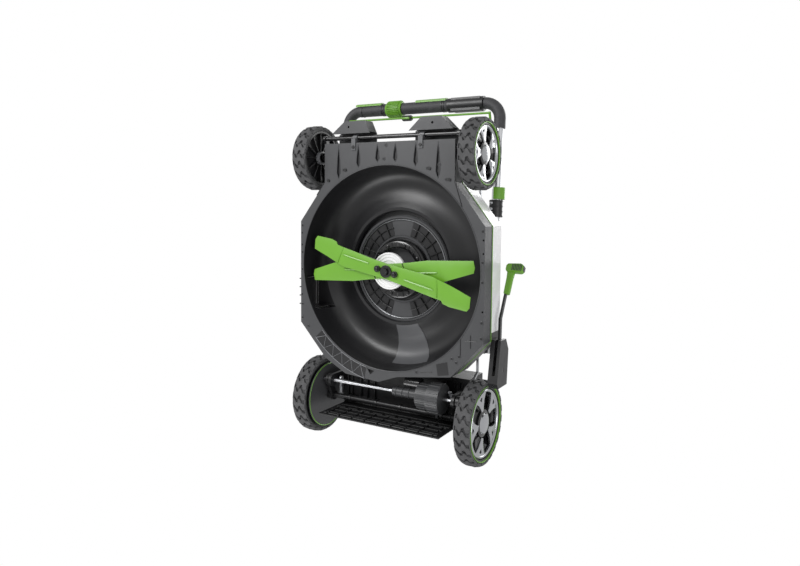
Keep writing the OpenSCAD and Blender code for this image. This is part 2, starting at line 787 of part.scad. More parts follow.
module rear_door() {
    x = [duct_x[0] - 7, duct_x[1] + 7];
    color(body_black) difference() {
        union() {
            block([x[0], duct_end + 1, duct_floor - 6], [x[1], duct_end + 6, hatch_rod[1]]);
            block([x[0], duct_end + 1, hatch_rod[1] - 4], [x[1], hatch_rod[0], hatch_rod[1] + 3]);
            bar_x(x[0], x[1], hatch_rod[0], hatch_rod[1], 6);
            block([x[0] + 40, duct_end + 6, duct_floor], [x[1] - 40, duct_end + 16, duct_floor + 8]);
        }
        bar_x(x[0] - 1, x[1] + 1, hatch_rod[0], hatch_rod[1], door_rod_r + run_gap);
    }
}

// A ribbed rubber-edged shield that hangs behind the rear axle.
module trail_shield() {
    low = [flap_rod[0], 12];
    color(body_black) difference() {
        union() {
            along_x(-flap_half, flap_half) polygon([
                [flap_rod[0] - 2, flap_rod[1]], [flap_rod[0] + 2, flap_rod[1]],
                [low[0] + 1.7, low[1]], [low[0] - 1.7, low[1]]
            ]);
            bar_x(-flap_half, flap_half, flap_rod[0], flap_rod[1], 6);
            bar_x(-flap_half + 10, flap_half - 10, low[0], low[1] + 14, 4);
        }
        bar_x(-flap_half - 1, flap_half + 1, flap_rod[0], flap_rod[1], door_rod_r + run_gap);
        for (k = [-4:4]) block([k * 42 - 14, low[0] - 30, flap_rod[1] - 60], [k * 42 + 14, low[0] + 40, flap_rod[1] - 48]);
    }
}

// ---- axles and drive ----

module front_axle_rod() {
    hub = [front_y, front_r];
    tab = [front_rod[0], front_rod[1] + link_arm];
    color(deck_black) {
        bar_x(-arm_out, arm_out, front_rod[0], front_rod[1], rod_r);
        both_sides() {
            crank_web(arm_in, arm_t, front_rod, hub, 9, 11, 14);
            bar_x(arm_in, track + tyre_w / 2 - 8, hub[0], hub[1], stub_r);
            bar_x(arm_in, wheel_in - 1.5, hub[0], hub[1], 10);
        }
        crank_web(arm_in, arm_t, front_rod, tab, 8, 7, 11);
        bar_x(arm_in, rod_x + 5, tab[0], tab[1], 3);
    }
}

module rear_axle_arms() {
    hub = [rear_y, rear_r];
    tab = [rear_rod[0], rear_rod[1] + link_arm];
    color(body_black) {
        bar_x(-arm_in - 1, arm_in + 1, hub[0], hub[1], 7);
        both_sides() difference() {
            union() {
                crank_web(arm_in, arm_t, rear_rod, hub, 16, 14, 20);
                bar_x(arm_in - 14, arm_in, rear_rod[0], rear_rod[1], sleeve_r);
                bar_x(arm_in, track + tyre_w / 2 - 8, hub[0], hub[1], stub_r);
                bar_x(arm_in, wheel_in - 6.5, hub[0], hub[1], 12);
            }
            bar_x(arm_in - 20, arm_out + 1, rear_rod[0], rear_rod[1], drive_r + run_gap);
        }
        crank_web(arm_in, arm_t, [rear_rod[0], rear_rod[1] + 20], tab, 7, 7, 12);
        bar_x(arm_in, rod_x + 5, tab[0], tab[1], 3);
    }
}

module gear_covers() {
    color(deck_grey) both_sides() difference() {
        bar_x(wheel_in - 6, wheel_in - 3, rear_y, rear_r, rear_r - tyre_depth - 3);
        bar_x(wheel_in - 8, wheel_in, rear_y, rear_r, stub_r + 0.1);
        bar_x(wheel_in - 8, wheel_in, rear_rod[0], rear_rod[1], drive_r + 1);
    }
}

module gear_case() {
    color(deck_grey) difference() {
        union() {
            bar_x(gear_x[0], gear_x[1], rear_rod[0], rear_rod[1], 34);
            bar_x(gear_x[1], gear_x[2], rear_rod[0], rear_rod[1], 40);
            bar_x(12, gear_x[0], rear_rod[0], rear_rod[1], 13);
            crank_web(gear_x[1] + 8, 6, rear_rod, [rear_y, rear_r], 12, 12, 18);
        }
        bar_x(0, gear_x[2] + 1, rear_rod[0], rear_rod[1], drive_r + fit_gap);
        bar_x(gear_x[1], gear_x[2], rear_y, rear_r, 7.1);
    }
}

module drive_motor() {
    color(deck_black) {
        bar_x(48, gear_x[0], rear_rod[0] - 30, rear_rod[1] + 6, 15.5);
        bar_x(44, 48, rear_rod[0] - 30, rear_rod[1] + 6, 8);
    }
}

// One straight-sided gear tooth about the radius pr, pointing outwards by a and rooted inwards by b.
module tooth(pr, a, b) {
    polygon([[pr + a, -0.7], [pr + a, 0.7], [pr, 1.1], [pr - b, 1.5], [pr - b, -1.5], [pr, -1.1]]);
}

// The turn about a wheel's own axis at which local X points at the crank's pivot.
function gear_turn(side) = atan2(cos(180 + crank_tilt), -side * sin(180 + crank_tilt));

module drive_shaft() {
    color(steel) {
        bar_x(-pinion_x[1] - 2, pinion_x[1] + 2, rear_rod[0], rear_rod[1], drive_r);
        for (side = [-1, 1]) translate([side * pinion_x[0], rear_rod[0], rear_rod[1]])
            rotate([0, side * 90, 0]) rotate(gear_turn(side)) linear_extrude(pinion_x[1] - pinion_x[0]) {
                circle(r = pinion_pr - 1.3);
                for (k = [0:pinion_teeth - 1]) rotate(k * 360 / pinion_teeth) tooth(pinion_pr, 0.8, 1.6);
            }
    }
}

// ---- wheels: drawn about +Z, which points away from the deck ----

module wheel_place(side, y, z) {
    translate([side * track, y, z]) rotate([0, side * 90, 0]) children();
}

module tyre(r) {
    in = r - tyre_depth;
    w = tyre_w / 2;
    color(tyre_black) rotate_extrude($fn = 128) polygon([
        [in, -w + 4], [r - 10, -w], [r - 3, -w + 3], [r, -w + 9], [r, w - 9], [r - 3, w - 3], [r - 10, w], [in, w - 4]
    ]);
}

module rim(r) {
    in = r - tyre_depth;
    w = tyre_w / 2;
    color(deck_black) rotate_extrude($fn = 128) polygon([
        [stub_r + run_gap, -w + 1], [hub_r, -w + 1], [hub_r, -3], [in - 5, -3], [in - 5, -w + 4], [in - 0.1, -w + 4],
        [in - 0.1, w - 4], [in - 5, w - 4], [in - 5, 1], [hub_r, 1], [hub_r, w - 12], [stub_r + run_gap, w - 12]
    ]);
}

// The rear rims carry the ring gear that the drive pinions turn.
module rear_rim(side) {
    depth = -(pinion_x[0] - track) + 1;
    rim(rear_r);
    color(deck_black) translate([0, 0, -depth]) rotate(gear_turn(side)) linear_extrude(depth - 2) {
        difference() {
            circle(r = ring_pr + 6);
            circle(r = ring_pr + 1.3);
        }
        for (k = [0:ring_teeth - 1]) rotate((k + 0.5) * 360 / ring_teeth)
            mirror([1, 0, 0]) translate([-2 * ring_pr, 0, 0]) tooth(ring_pr, 0.8, 1.8);
    }
}

// Outer wheel trim: five forked spokes, a rim band and a plain hub cap.
module wheel_cover(r) {
    in = r - tyre_depth - 6;
    top = tyre_w / 2 - 4;
    color(silver) difference() {
        translate([0, 0, top - 5]) union() {
            linear_extrude(3) difference() {
                circle(r = in);
                circle(r = 12);
                for (k = [0:4]) rotate(k * 72) polygon([
                    [hub_r + 10, -3], [in - 7, -in * 0.22], [in - 7, in * 0.22], [hub_r + 10, 3]
                ]);
                for (k = [0:4]) rotate(k * 72 + 36) polygon([
                    [in * 0.62, 0], [in - 7, -in * 0.12], [in - 7, in * 0.12]
                ]);
            }
            cylinder(r = hub_r + 4, h = 5);
        }
        translate([0, 0, -e]) cylinder(r = 11, h = top - 1.5 + e);
    }
}

module front_left_tyre() { wheel_place(1, front_y, front_r) tyre(front_r); }
module front_left_rim() { wheel_place(1, front_y, front_r) rim(front_r); }
module front_left_cover() { wheel_place(1, front_y, front_r) wheel_cover(front_r); }
module front_right_tyre() { wheel_place(-1, front_y, front_r) tyre(front_r); }
module front_right_rim() { wheel_place(-1, front_y, front_r) rim(front_r); }
module front_right_cover() { wheel_place(-1, front_y, front_r) wheel_cover(front_r); }
module rear_left_tyre() { wheel_place(1, rear_y, rear_r) tyre(rear_r); }
module rear_left_rim() { wheel_place(1, rear_y, rear_r) rear_rim(1); }
module rear_left_cover() { wheel_place(1, rear_y, rear_r) wheel_cover(rear_r); }
module rear_right_tyre() { wheel_place(-1, rear_y, rear_r) tyre(rear_r); }
module rear_right_rim() { wheel_place(-1, rear_y, rear_r) rear_rim(-1); }
module rear_right_cover() { wheel_place(-1, rear_y, rear_r) wheel_cover(rear_r); }

// ---- cutting-height lever and link ----

lever_knee = [lever_pivot[0] - 130, lever_pivot[1] + 5];

module upper_lever(x) {
    crank_web(x, lever_t, lever_knee, lever_tip, 5.5, 5, 9.4);
}

module lift_lever() {
    x = lever_x - lever_t / 2;
    color(body_black) {
        crank_web(x, lever_t, lever_pivot, lever_knee, 8, 6, 11);
        upper_lever(x);
        bar_x(gate_x[0], gate_x[1] - 0.5, lever_pivot[0], lever_pivot[1], 5 - run_gap);
    }
}

module lever_grip() {
    run = lever_tip - lever_knee;
    start = lever_knee + run * 0.12;
    color(green) difference() {
        union() {
            crank_web(lever_x - 8, 16, start, lever_tip, 9, 10, 17);
            bar_x(lever_x - 11, lever_x + 16, lever_tip[0], lever_tip[1], 13);
        }
        upper_lever(lever_x - lever_t / 2);
    }
}

// Links the two cranks: up from the front crank, over the deck and down to the rear crank.
module link_rod() {
    front = [front_rod[0], front_rod[1] + link_arm];
    rear = [rear_rod[0], rear_rod[1] + link_arm];
    run_z = crown_z + 14;
    path = [front + [9, 0], [front[0] + 25, front[1]], [front[0] + 70, run_z],
        [rear[0] - 60, run_z], [rear[0] - 22, rear[1]], rear - [9, 0]];
    color(steel) {
        for (k = [0:4]) crank_web(rod_x - 3, 6, path[k], path[k + 1], 3, 3.1, 5.4);
        for (p = [[front, 0.8], [rear, run_gap]]) difference() {
            bar_x(rod_x - 3, rod_x + 3, p[0][0], p[0][1], 9);
            bar_x(rod_x - 4, rod_x + 4, p[0][0], p[0][1], 3 + p[1]);
        }
    }
}

// ---- handle: drawn about its fold pivots, with the tubes running along -Y ----

module on_handle() {
    translate([0, pivot_y, pivot_z]) rotate([-handle_rise, 0, 0]) children();
}

// A round piece along a handle tube, between two distances from the pivot.
module along_tube(x, y1, y2, r) {
    translate([x, -y1, 0]) rotate([90, 0, 0]) cylinder(r = r, h = y2 - y1);
}

module lower_tubes() {
    color(silver) on_handle() both_sides() difference() {
        along_tube(handle_half, -tail, lower_len, tube_r);
        along_tube(handle_half, -tail - 1, lower_len + 1, tube_r - tube_wall);
        bar_x(handle_half - 20, handle_half + 20, 0, 0, pivot_r + run_gap);
    }
}

module handle_clamps() {
    color(body_black) on_handle() both_sides() {
        difference() {
            union() {
                along_tube(handle_half, clamp_y[0], clamp_y[1], clamp_r);
                block([handle_half - 8, -clamp_y[1], 0], [handle_half + 8, -clamp_y[0], latch_lift + 5]);
            }
            along_tube(handle_half, clamp_y[0] - 1, clamp_y[1] + 1, tube_r);
        }
        translate([0, 0, latch_lift]) along_tube(handle_half, clamp_y[1], latch_y[1] + 3, 2);
    }
}

// A half-round cam lever on the tube's outer side, hinged at the top.
module clamp_lever() {
    translate([handle_half, -latch_y[0], 0]) rotate([90, 0, 0]) difference() {
        union() {
            linear_extrude(latch_y[1] - latch_y[0]) difference() {
                circle(r = clamp_r + 5);
                circle(r = clamp_r + 1);
                translate([-50, -50]) square([50, 100]);
            }
            translate([0, latch_lift, 0]) cylinder(r = 4.5, h = latch_y[1] - latch_y[0]);
        }
        translate([0, latch_lift, -e]) cylinder(r = 2 + run_gap, h = 60);
    }
}

module clamp_lever_left() { color(green) on_handle() clamp_lever(); }
module clamp_lever_right() { color(green) on_handle() mirror([1, 0, 0]) clamp_lever(); }

// A quarter bend of the crossbar's left end, from the tube's outer and inner radius.
module bar_bend(ro, ri) {
    translate([bar_half, -handle_len + bend_r, 0]) rotate([0, 0, -90]) rotate_extrude(angle = 90)
        translate([bend_r, 0]) difference() {
            circle(r = ro);
            circle(r = ri);
        }
}

module tube_piece_x(x1, x2, ro, ri) {
    difference() {
        bar_x(x1, x2, -handle_len, 0, ro);
        bar_x(x1 - 1, x2 + 1, -handle_len, 0, ri);
    }
}

module upper_tube() {
    inner = upper_r - tube_wall;
    color(silver) on_handle() {
        both_sides() {
            difference() {
                along_tube(handle_half, upper_start, handle_len - bend_r, upper_r);
                along_tube(handle_half, upper_start - 1, handle_len - bend_r + 1, inner);
            }
            bar_bend(upper_r, inner);
        }
        tube_piece_x(-bar_half, bar_half, upper_r, inner);
    }
}

module grip_sleeve() {
    seat = upper_r + 0.05;
    dial = [dial_x - dial_w / 2 - 1.5, dial_x + dial_w / 2 + 1.5];
    color(body_black) on_handle() {
        tube_piece_x(-bar_half + 0.2, dial[0], grip_r, seat);
        tube_piece_x(dial[1], box_x[0], grip_r, seat);
        both_sides() {
            bar_bend(grip_r - 1, seat);
            difference() {
                along_tube(handle_half, handle_len - bend_r - 26, handle_len - bend_r - 0.2, grip_r - 1);
                along_tube(handle_half, handle_len - bend_r - 27, handle_len - bend_r, seat);
            }
        }
    }
}

button_x = 150;

module control_box() {
    color(body_black) on_handle() difference() {
        union() {
            bar_x(box_x[0] + 0.2, box_x[1], -handle_len, 0, box_r);
            block([box_x[0] + 12, -handle_len - box_r + 2, -box_r + 4], [box_x[1] - 8, -handle_len + box_r - 2, box_r]);
        }
        bar_x(box_x[0] - 1, box_x[1] + 1, -handle_len, 0, upper_r + 0.05);
        translate([button_x, -handle_len, upper_r + 1]) cylinder(r = 7 + fit_gap, h = 20);
    }
}

module start_button() {
    color(green) on_handle() translate([button_x, -handle_len, box_r - 4]) cylinder(r = 7, h = 8);
}

module speed_dial() {
    color(green) on_handle() difference() {
        bar_x(dial_x - dial_w / 2, dial_x + dial_w / 2, -handle_len, 0, dial_r);
        bar_x(dial_x - dial_w, dial_x + dial_w, -handle_len, 0, upper_r + run_gap);
        for (a = [0:24:336]) translate([dial_x - dial_w / 2 + 5, -handle_len, 0]) rotate([a, 0, 0])
            translate([0, dial_r - 1.5, -1.5]) cube([dial_w - 10, 3, 3]);
    }
}

// A curved thumb paddle ahead of the crossbar, between two x places.
module paddle(x1, x2) {
    translate([x1, -handle_len, 0]) rotate([90, 0, 90]) linear_extrude(x2 - x1) difference() {
        circle(r = grip_r + 5);
        circle(r = grip_r + 1.8);
        translate([-12, -50]) square([100, 100]);
        for (s = [0, 1]) mirror([0, s]) translate([-50, 14]) square([100, 50]);
    }
}

module drive_paddles() {
    color(green) on_handle() {
        paddle(-bar_half - 10, dial_x - dial_w / 2 - 18);
        paddle(dial_x + dial_w / 2 + 47, box_x[0] - 6);
    }
}

module blade_bail() {
    arm_x = handle_half - upper_r - 11;
    color(green) on_handle() {
        bar_x(-arm_x, arm_x, -bail_y, bail_z, bail_r);
        both_sides() {
            crank_web(arm_x - 3, 5, [-bail_y, bail_z], [-bail_pivot, 0], bail_r + 0.6, bail_r + 1.2, 5);
            bar_x(arm_x, handle_half - upper_r - 0.3, -bail_pivot, 0, bail_r);
        }
    }
}

deck_shell();
deck_skirt();
bumper_plates();
top_cover();
trim_strip();
rear_frame();
mount_plate();
motor_shroud();
motor_stator();
power_housing();
battery();
discharge_plug();
handle_brackets();
pivot_bolts();
axle_clips();
screws();
lever_gate();
door_rods();
motor_rotor();
blade_adapter();
lower_blade();
upper_blade();
blade_bolt();
blade_studs();
front_axle_rod();
rear_axle_arms();
gear_covers();
gear_case();
drive_motor();
drive_shaft();
front_left_tyre();
front_left_rim();
front_left_cover();
front_right_tyre();
front_right_rim();
front_right_cover();
rear_left_tyre();
rear_left_rim();
rear_left_cover();
rear_right_tyre();
rear_right_rim();
rear_right_cover();
battery_lid();
side_door();
rear_door();
trail_shield();
lift_lever();
lever_grip();
link_rod();
lower_tubes();
handle_clamps();
clamp_lever_left();
clamp_lever_right();
upper_tube();
grip_sleeve();
control_box();
speed_dial();
drive_paddles();
blade_bail();
start_button();
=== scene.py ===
import json
import math

import bpy
from bpy.props import FloatProperty, FloatVectorProperty, IntProperty, PointerProperty
from mathutils import Matrix, Vector


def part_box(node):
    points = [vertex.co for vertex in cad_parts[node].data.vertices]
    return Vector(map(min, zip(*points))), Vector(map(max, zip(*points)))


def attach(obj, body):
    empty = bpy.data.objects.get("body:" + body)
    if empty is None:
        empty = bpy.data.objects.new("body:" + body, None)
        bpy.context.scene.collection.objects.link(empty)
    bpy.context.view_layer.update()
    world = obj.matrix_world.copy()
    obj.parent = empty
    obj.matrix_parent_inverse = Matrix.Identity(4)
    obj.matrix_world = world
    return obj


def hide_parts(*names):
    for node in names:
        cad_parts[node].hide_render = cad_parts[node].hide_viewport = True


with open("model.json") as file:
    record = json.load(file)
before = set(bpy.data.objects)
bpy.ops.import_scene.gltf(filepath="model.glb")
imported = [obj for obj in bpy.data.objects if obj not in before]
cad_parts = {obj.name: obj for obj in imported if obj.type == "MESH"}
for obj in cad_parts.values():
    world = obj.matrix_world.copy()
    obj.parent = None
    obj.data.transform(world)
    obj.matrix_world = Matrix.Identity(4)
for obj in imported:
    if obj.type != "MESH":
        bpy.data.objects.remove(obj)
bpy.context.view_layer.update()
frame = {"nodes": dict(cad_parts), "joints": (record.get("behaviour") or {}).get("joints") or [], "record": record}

bl_info = {
    "name": "Folded lawn mower",
    "version": (1, 0, 0),
    "blender": (4, 5, 0),
    "location": "View3D > Sidebar > Mower",
    "description": "Builds the visible pieces and finishes of a cordless lawn mower around its frame",
    "category": "Object",
}

SIDES = {"left": 1, "right": -1}
TURN = 2 * math.pi
ALONG_X = Matrix.Rotation(math.pi / 2, 4, "Y")


# ---- places that come from the frame ----

def corners(node):
    """The low and high corners of a node's box."""
    return [Vector(corner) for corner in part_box(node)]


def middle(node):
    low, high = corners(node)
    return (low + high) / 2


def extent(node):
    low, high = corners(node)
    return high - low


def joint(name):
    return next(j for j in frame["joints"] if j["name"] == name)


def handle_matrix():
    """From the folded handle's own axes, tubes along -Y from the fold pivots, to the frame's."""
    pivot = middle("pivot_bolts")
    run = Vector(joint("handle_slide")["axis"])
    rise = math.atan2(run.z, -run.y)
    return Matrix.Translation((0, pivot.y, pivot.z)) @ Matrix.Rotation(-rise, 4, "X")


def handle_length():
    """From the fold pivots to the handle's bar."""
    pivot = middle("pivot_bolts")
    bar = middle("speed_dial")
    return (Vector((0, bar.y, bar.z)) - Vector((0, pivot.y, pivot.z))).length


# ---- modelling with operators ----

def clear():
    bpy.ops.object.select_all(action="DESELECT")


def work_on(obj):
    clear()
    obj.select_set(True)
    bpy.context.view_layer.objects.active = obj
    return obj


class Editing:
    """Edit mode on one object, with everything selected at the start."""

    def __init__(self, obj):
        self.obj = obj

    def __enter__(self):
        work_on(self.obj)
        bpy.ops.object.mode_set(mode="EDIT")
        bpy.ops.mesh.select_all(action="SELECT")
        return self.obj

    def __exit__(self, *_):
        bpy.ops.object.mode_set(mode="OBJECT")


def new_outline(points, filled=True):
    """A closed loop of edges, or one filled face, through the points."""
    clear()
    fill = "NGON" if filled else "NOTHING"
    bpy.ops.mesh.primitive_circle_add(vertices=len(points), fill_type=fill)
    obj = bpy.context.object
    for vertex, point in zip(obj.data.vertices, points):
        vertex.co = point
    return obj


def outward(obj):
    """Merges points that lie together and turns all faces outward."""
    with Editing(obj):
        bpy.ops.mesh.remove_doubles(threshold=1e-6)
        bpy.ops.mesh.normals_make_consistent(inside=False)
    return obj


def plate(points, z, thick):
    """A flat plate with an outline of (x, y) points from z up to z + thick."""
    obj = new_outline([(x, y, z) for x, y in points])
    with Editing(obj):
        bpy.ops.mesh.extrude_region_move(TRANSFORM_OT_translate={"value": (0, 0, thick)})
    return outward(obj)


def lathe(profile, steps=96, transform=None):
    """A closed profile of (radius, height) points spun about +Z."""
    obj = new_outline([(r, 0, h) for r, h in profile], filled=False)
    with Editing(obj):
        bpy.ops.mesh.spin(steps=steps, angle=TURN, center=(0, 0, 0), axis=(0, 0, 1))
    outward(obj)
    if transform is not None:
        obj.data.transform(transform)
    return obj


def pipe(points, radius, steps=10, smooth=False):
    """A round wire or tube through the points."""
    clear()
    bpy.ops.curve.primitive_nurbs_path_add()
    obj = bpy.context.object
    curve = obj.data
    curve.splines.clear()
    spline = curve.splines.new("NURBS" if smooth else "POLY")
    spline.points.add(len(points) - 1)
    for target, point in zip(spline.points, points):
        target.co = (*point, 1)
    if smooth:
        spline.use_endpoint_u = True
        spline.order_u = 4
    curve.bevel_depth = radius
    curve.bevel_resolution = max(1, steps // 3)
    curve.use_fill_caps = True
    work_on(obj)
    bpy.ops.object.convert(target="MESH")
    return outward(bpy.context.object)


def rod(start, end, radius, sides=24):
    """A straight round bar from start to end."""
    start, end = Vector(start), Vector(end)
    clear()
    bpy.ops.mesh.primitive_cylinder_add(vertices=sides, radius=radius, depth=(end - start).length)
    obj = bpy.context.object
    turn = Vector((0, 0, 1)).rotation_difference(end - start).to_matrix().to_4x4()
    obj.data.transform(Matrix.Translation((start + end) / 2) @ turn)
    return obj


def slab(low, high):
    """A block between two corners."""
    low, high = Vector(low), Vector(high)
    clear()
    bpy.ops.mesh.primitive_cube_add(size=1)
    obj = bpy.context.object
    obj.data.transform(Matrix.Translation((low + high) / 2) @ Matrix.Diagonal((*(high - low), 1)))
    return obj


def modify(obj, kind, **values):
    """Adds a modifier with those settings and applies it."""
    modifier = obj.modifiers.new(kind.title(), kind)
    for name, value in values.items():
        setattr(modifier, name, value)
    work_on(obj)
    bpy.ops.object.modifier_apply(modifier=modifier.name)
    return obj


def rounded(obj, width, segments=2, angle=35):
    """Rounds the edges that are sharper than the angle, in degrees."""
    return modify(obj, "BEVEL", width=width, segments=segments, limit_method="ANGLE",
                  angle_limit=math.radians(angle), use_clamp_overlap=True)


def cut(obj, tool):
    """Takes the tool's shape out of obj."""
    modify(obj, "BOOLEAN", operation="DIFFERENCE", object=tool, solver="EXACT")
    bpy.data.objects.remove(tool)
    return obj


def smooth(obj):
    """Shades smooth, apart from edges over 32 degrees."""
    work_on(obj)
    bpy.ops.object.shade_smooth_by_angle(angle=math.radians(32))
    return obj


def joined(parts):
    """All the parts as one object."""
    clear()
    for part in parts:
        part.select_set(True)
    bpy.context.view_layer.objects.active = parts[0]
    if len(parts) > 1:
        bpy.ops.object.join()
    return bpy.context.view_layer.objects.active


def copied(obj, transform=None):
    """A copy with its own mesh, moved by the transform."""
    twin = obj.copy()
    twin.data = obj.data.copy()
    bpy.context.scene.collection.objects.link(twin)
    if transform is not None:
        twin.data.transform(transform)
        if transform.determinant() < 0:
            outward(twin)
    return twin


def frame_copy(node):
    """A loose copy of the frame's own shape."""
    source = frame["nodes"][node]
    twin = copied(source)
    twin.parent = None
    twin.matrix_world = Matrix.Identity(4)
    twin.data.transform(source.matrix_world)
    return twin


def ring_of(obj, count, start=0.0):
    """Copies of obj turned evenly about Z, joined."""
    parts = [copied(obj, Matrix.Rotation(start + TURN * k / count, 4, "Z")) for k in range(count)]
    bpy.data.objects.remove(obj)
    return joined(parts)


def piece(obj, name, body, finish, stands_for=()):
    """Names a finished object, gives it its finish and hangs it on its body."""
    smooth(obj)
    obj.name = name
    obj.data.name = name
    obj.data.materials.clear()
    obj.data.materials.append(finishes()[finish])
    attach(obj, body)
    if stands_for:
        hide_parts(*stands_for)
    return obj


def softened(node, finish, width):
    """The frame's own shape with its hard edges rounded, in place of the node."""
    twin = frame_copy(node)
    with Editing(twin):
        bpy.ops.mesh.remove_doubles(threshold=2e-6)
        bpy.ops.mesh.dissolve_limited(angle_limit=math.radians(1.0))
    rounded(twin, width, 3, 25)
    piece(twin, node + "_shape", body_named(node), finish, (node,))
    return modify(twin, "WEIGHTED_NORMAL", keep_sharp=True, weight=80)


def body_named(node):
    bodies = frame["record"]["behaviour"]["bodies"]
    return next(b for b, nodes in bodies.items() if node in nodes)


# ---- finishes ----

class Value:
    """A number or colour that a shader node gives, with sums written as Python."""

    def __init__(self, surface, socket):
        self.surface = surface
        self.socket = socket

    def sum_with(self, kind, first, second):
        return self.surface.node("ShaderNodeMath", {"operation": kind}, {0: first, 1: second})

    def __add__(self, other):
        return self.sum_with("ADD", self, other)

    def __radd__(self, other):
        return self.sum_with("ADD", other, self)

    def __sub__(self, other):
        return self.sum_with("SUBTRACT", self, other)

    def __rsub__(self, other):
        return self.sum_with("SUBTRACT", other, self)

    def __mul__(self, other):
        return self.sum_with("MULTIPLY", self, other)

    def __rmul__(self, other):
        return self.sum_with("MULTIPLY", other, self)


class Surface:
    """One procedural material on a Principled shader."""

    def __init__(self, name, **plain):
        self.material = bpy.data.materials.new(name)
        self.material.use_nodes = True
        self.tree = self.material.node_tree
        self.shader = self.tree.nodes["Principled BSDF"]
        for socket, value in plain.items():
            self.shader.inputs[socket.replace("_", " ")].default_value = value

    def node(self, kind, settings=None, inputs=None, output=0):
        made = self.tree.nodes.new(kind)
        for name, value in (settings or {}).items():
            if name == "stops":
                self.set_stops(made, value)
            else:
                setattr(made, name, value)
        for key, value in (inputs or {}).items():
            if isinstance(value, Value):
                self.tree.links.new(value.socket, made.inputs[key])
            else:
                made.inputs[key].default_value = value
        return Value(self, made.outputs[output])

    def set_stops(self, ramp, stops):
        elements = ramp.color_ramp.elements
        while len(elements) < len(stops):
            elements.new(0.5)
        for element, (position, grey) in zip(elements, stops):
            element.position = position
            element.color = (grey, grey, grey, 1)

    def place(self):
        return self.node("ShaderNodeTexCoord", output=3)

    def stretched(self, scale):
        return self.node("ShaderNodeMapping", {}, {"Vector": self.place(), "Scale": scale})

    def noise(self, size, detail=4.0, rough=0.55, where=None):
        """Noise from 0 to 1, with lumps about that many metres across."""
        return self.node("ShaderNodeTexNoise", {}, {
            "Vector": where or self.place(), "Scale": 1 / size, "Detail": detail, "Roughness": rough})

    def ramp(self, value, *stops):
        return self.node("ShaderNodeValToRGB", {"stops": stops}, {"Fac": value})

    def blend(self, factor, first, second):
        return self.node("ShaderNodeMix", {"data_type": "RGBA"},
                         {"Factor": factor, 6: (*first, 1), 7: (*second, 1)}, output=2)

    def feed(self, socket, value):
        self.tree.links.new(value.socket, self.shader.inputs[socket])
        return self

    def bump(self, height, distance, strength=1.0):
        bumped = self.node("ShaderNodeBump", {}, {
            "Height": height, "Distance": distance, "Strength": strength})
        return self.feed("Normal", bumped)


def shade(colour, factor):
    return tuple(min(1.0, c * factor) for c in colour)


def moulded(name, colour, rough=0.42, grain=0.0009, depth=0.00008, spread=0.18, **plain):
    """Injection-moulded plastic: fine grain, faint flow marks and dull handling marks."""
    s = Surface(name, **plain)
    cloud = s.noise(0.11, 3.0)
    marks = s.ramp(s.noise(0.02, 6.0, 0.7), (0.45, 0.0), (0.75, 1.0))
    s.feed("Base Color", s.blend(cloud, shade(colour, 1 - spread), shade(colour, 1 + spread)))
    s.feed("Roughness", rough - 0.06 + 0.10 * cloud + 0.10 * marks)
    return s.bump(s.noise(grain, 2.0), depth)


def painted(name, colour, rough=0.34, peel=0.0035, depth=0.00006, **plain):
    """Powder coat with orange peel and scuffs."""
    s = Surface(name, Coat_Weight=0.25, Coat_Roughness=0.2, **plain)
    scuff = s.ramp(s.noise(0.012, 8.0, 0.75), (0.60, 0.0), (0.80, 1.0))
    s.feed("Base Color", s.blend(s.noise(0.09, 3.0), shade(colour, 0.90), shade(colour, 1.08)))
    s.feed("Roughness", rough + 0.18 * scuff)
    return s.bump(s.noise(peel, 2.0), depth)


def metal(name, colour, rough=0.3, along=(1, 60, 60), **plain):
    """Drawn or brushed metal, with lines along one direction."""
    s = Surface(name, Metallic=1.0, **plain)
    lines = s.noise(0.02, 4.0, 0.6, s.stretched(along))
    s.feed("Base Color", s.blend(lines, shade(colour, 0.86), shade(colour, 1.06)))
    s.feed("Roughness", rough - 0.05 + 0.14 * lines)
    return s.bump(lines, 0.00002)


def rubber(name, colour, rough=0.72, dimple=0.0018, depth=0.00025):
    """Dusty rubber with a fine dimpled grain."""
    s = Surface(name)
    dust = s.ramp(s.noise(0.03, 7.0, 0.7), (0.42, 0.0), (0.78, 1.0))
    cells = s.node("ShaderNodeTexVoronoi", {}, {"Vector": s.place(), "Scale": 1 / dimple})
    s.feed("Base Color", s.blend(dust, colour, shade(colour, 1.9)))
    s.feed("Roughness", rough - 0.08 + 0.16 * dust)
    return s.bump(cells, depth)


def tunnel_finish(colour):
    """Gloss black moulding with faint arcs left by the air and clippings."""
    s = Surface("tunnel_black")
    height = s.node("ShaderNodeSeparateXYZ", {}, {"Vector": s.place()}, output=2)
    level = s.node("ShaderNodeVectorMath", {"operation": "MULTIPLY"}, {0: s.place(), 1: (1, 1, 0)})
    out = s.node("ShaderNodeVectorMath", {"operation": "LENGTH"}, {0: level}, output=1)
    rings = s.node("ShaderNodeTexNoise", {"noise_dimensions": "1D"}, {
        "W": out * 420 + height * 60, "Detail": 3.0})
    cloud = s.noise(0.09, 3.0)
    s.feed("Base Color", s.blend(cloud, shade(colour, 0.8), shade(colour, 1.35)))
    s.feed("Roughness", 0.26 + 0.10 * cloud + 0.08 * rings)
    return s.bump(rings, 0.00004)


MADE = {}


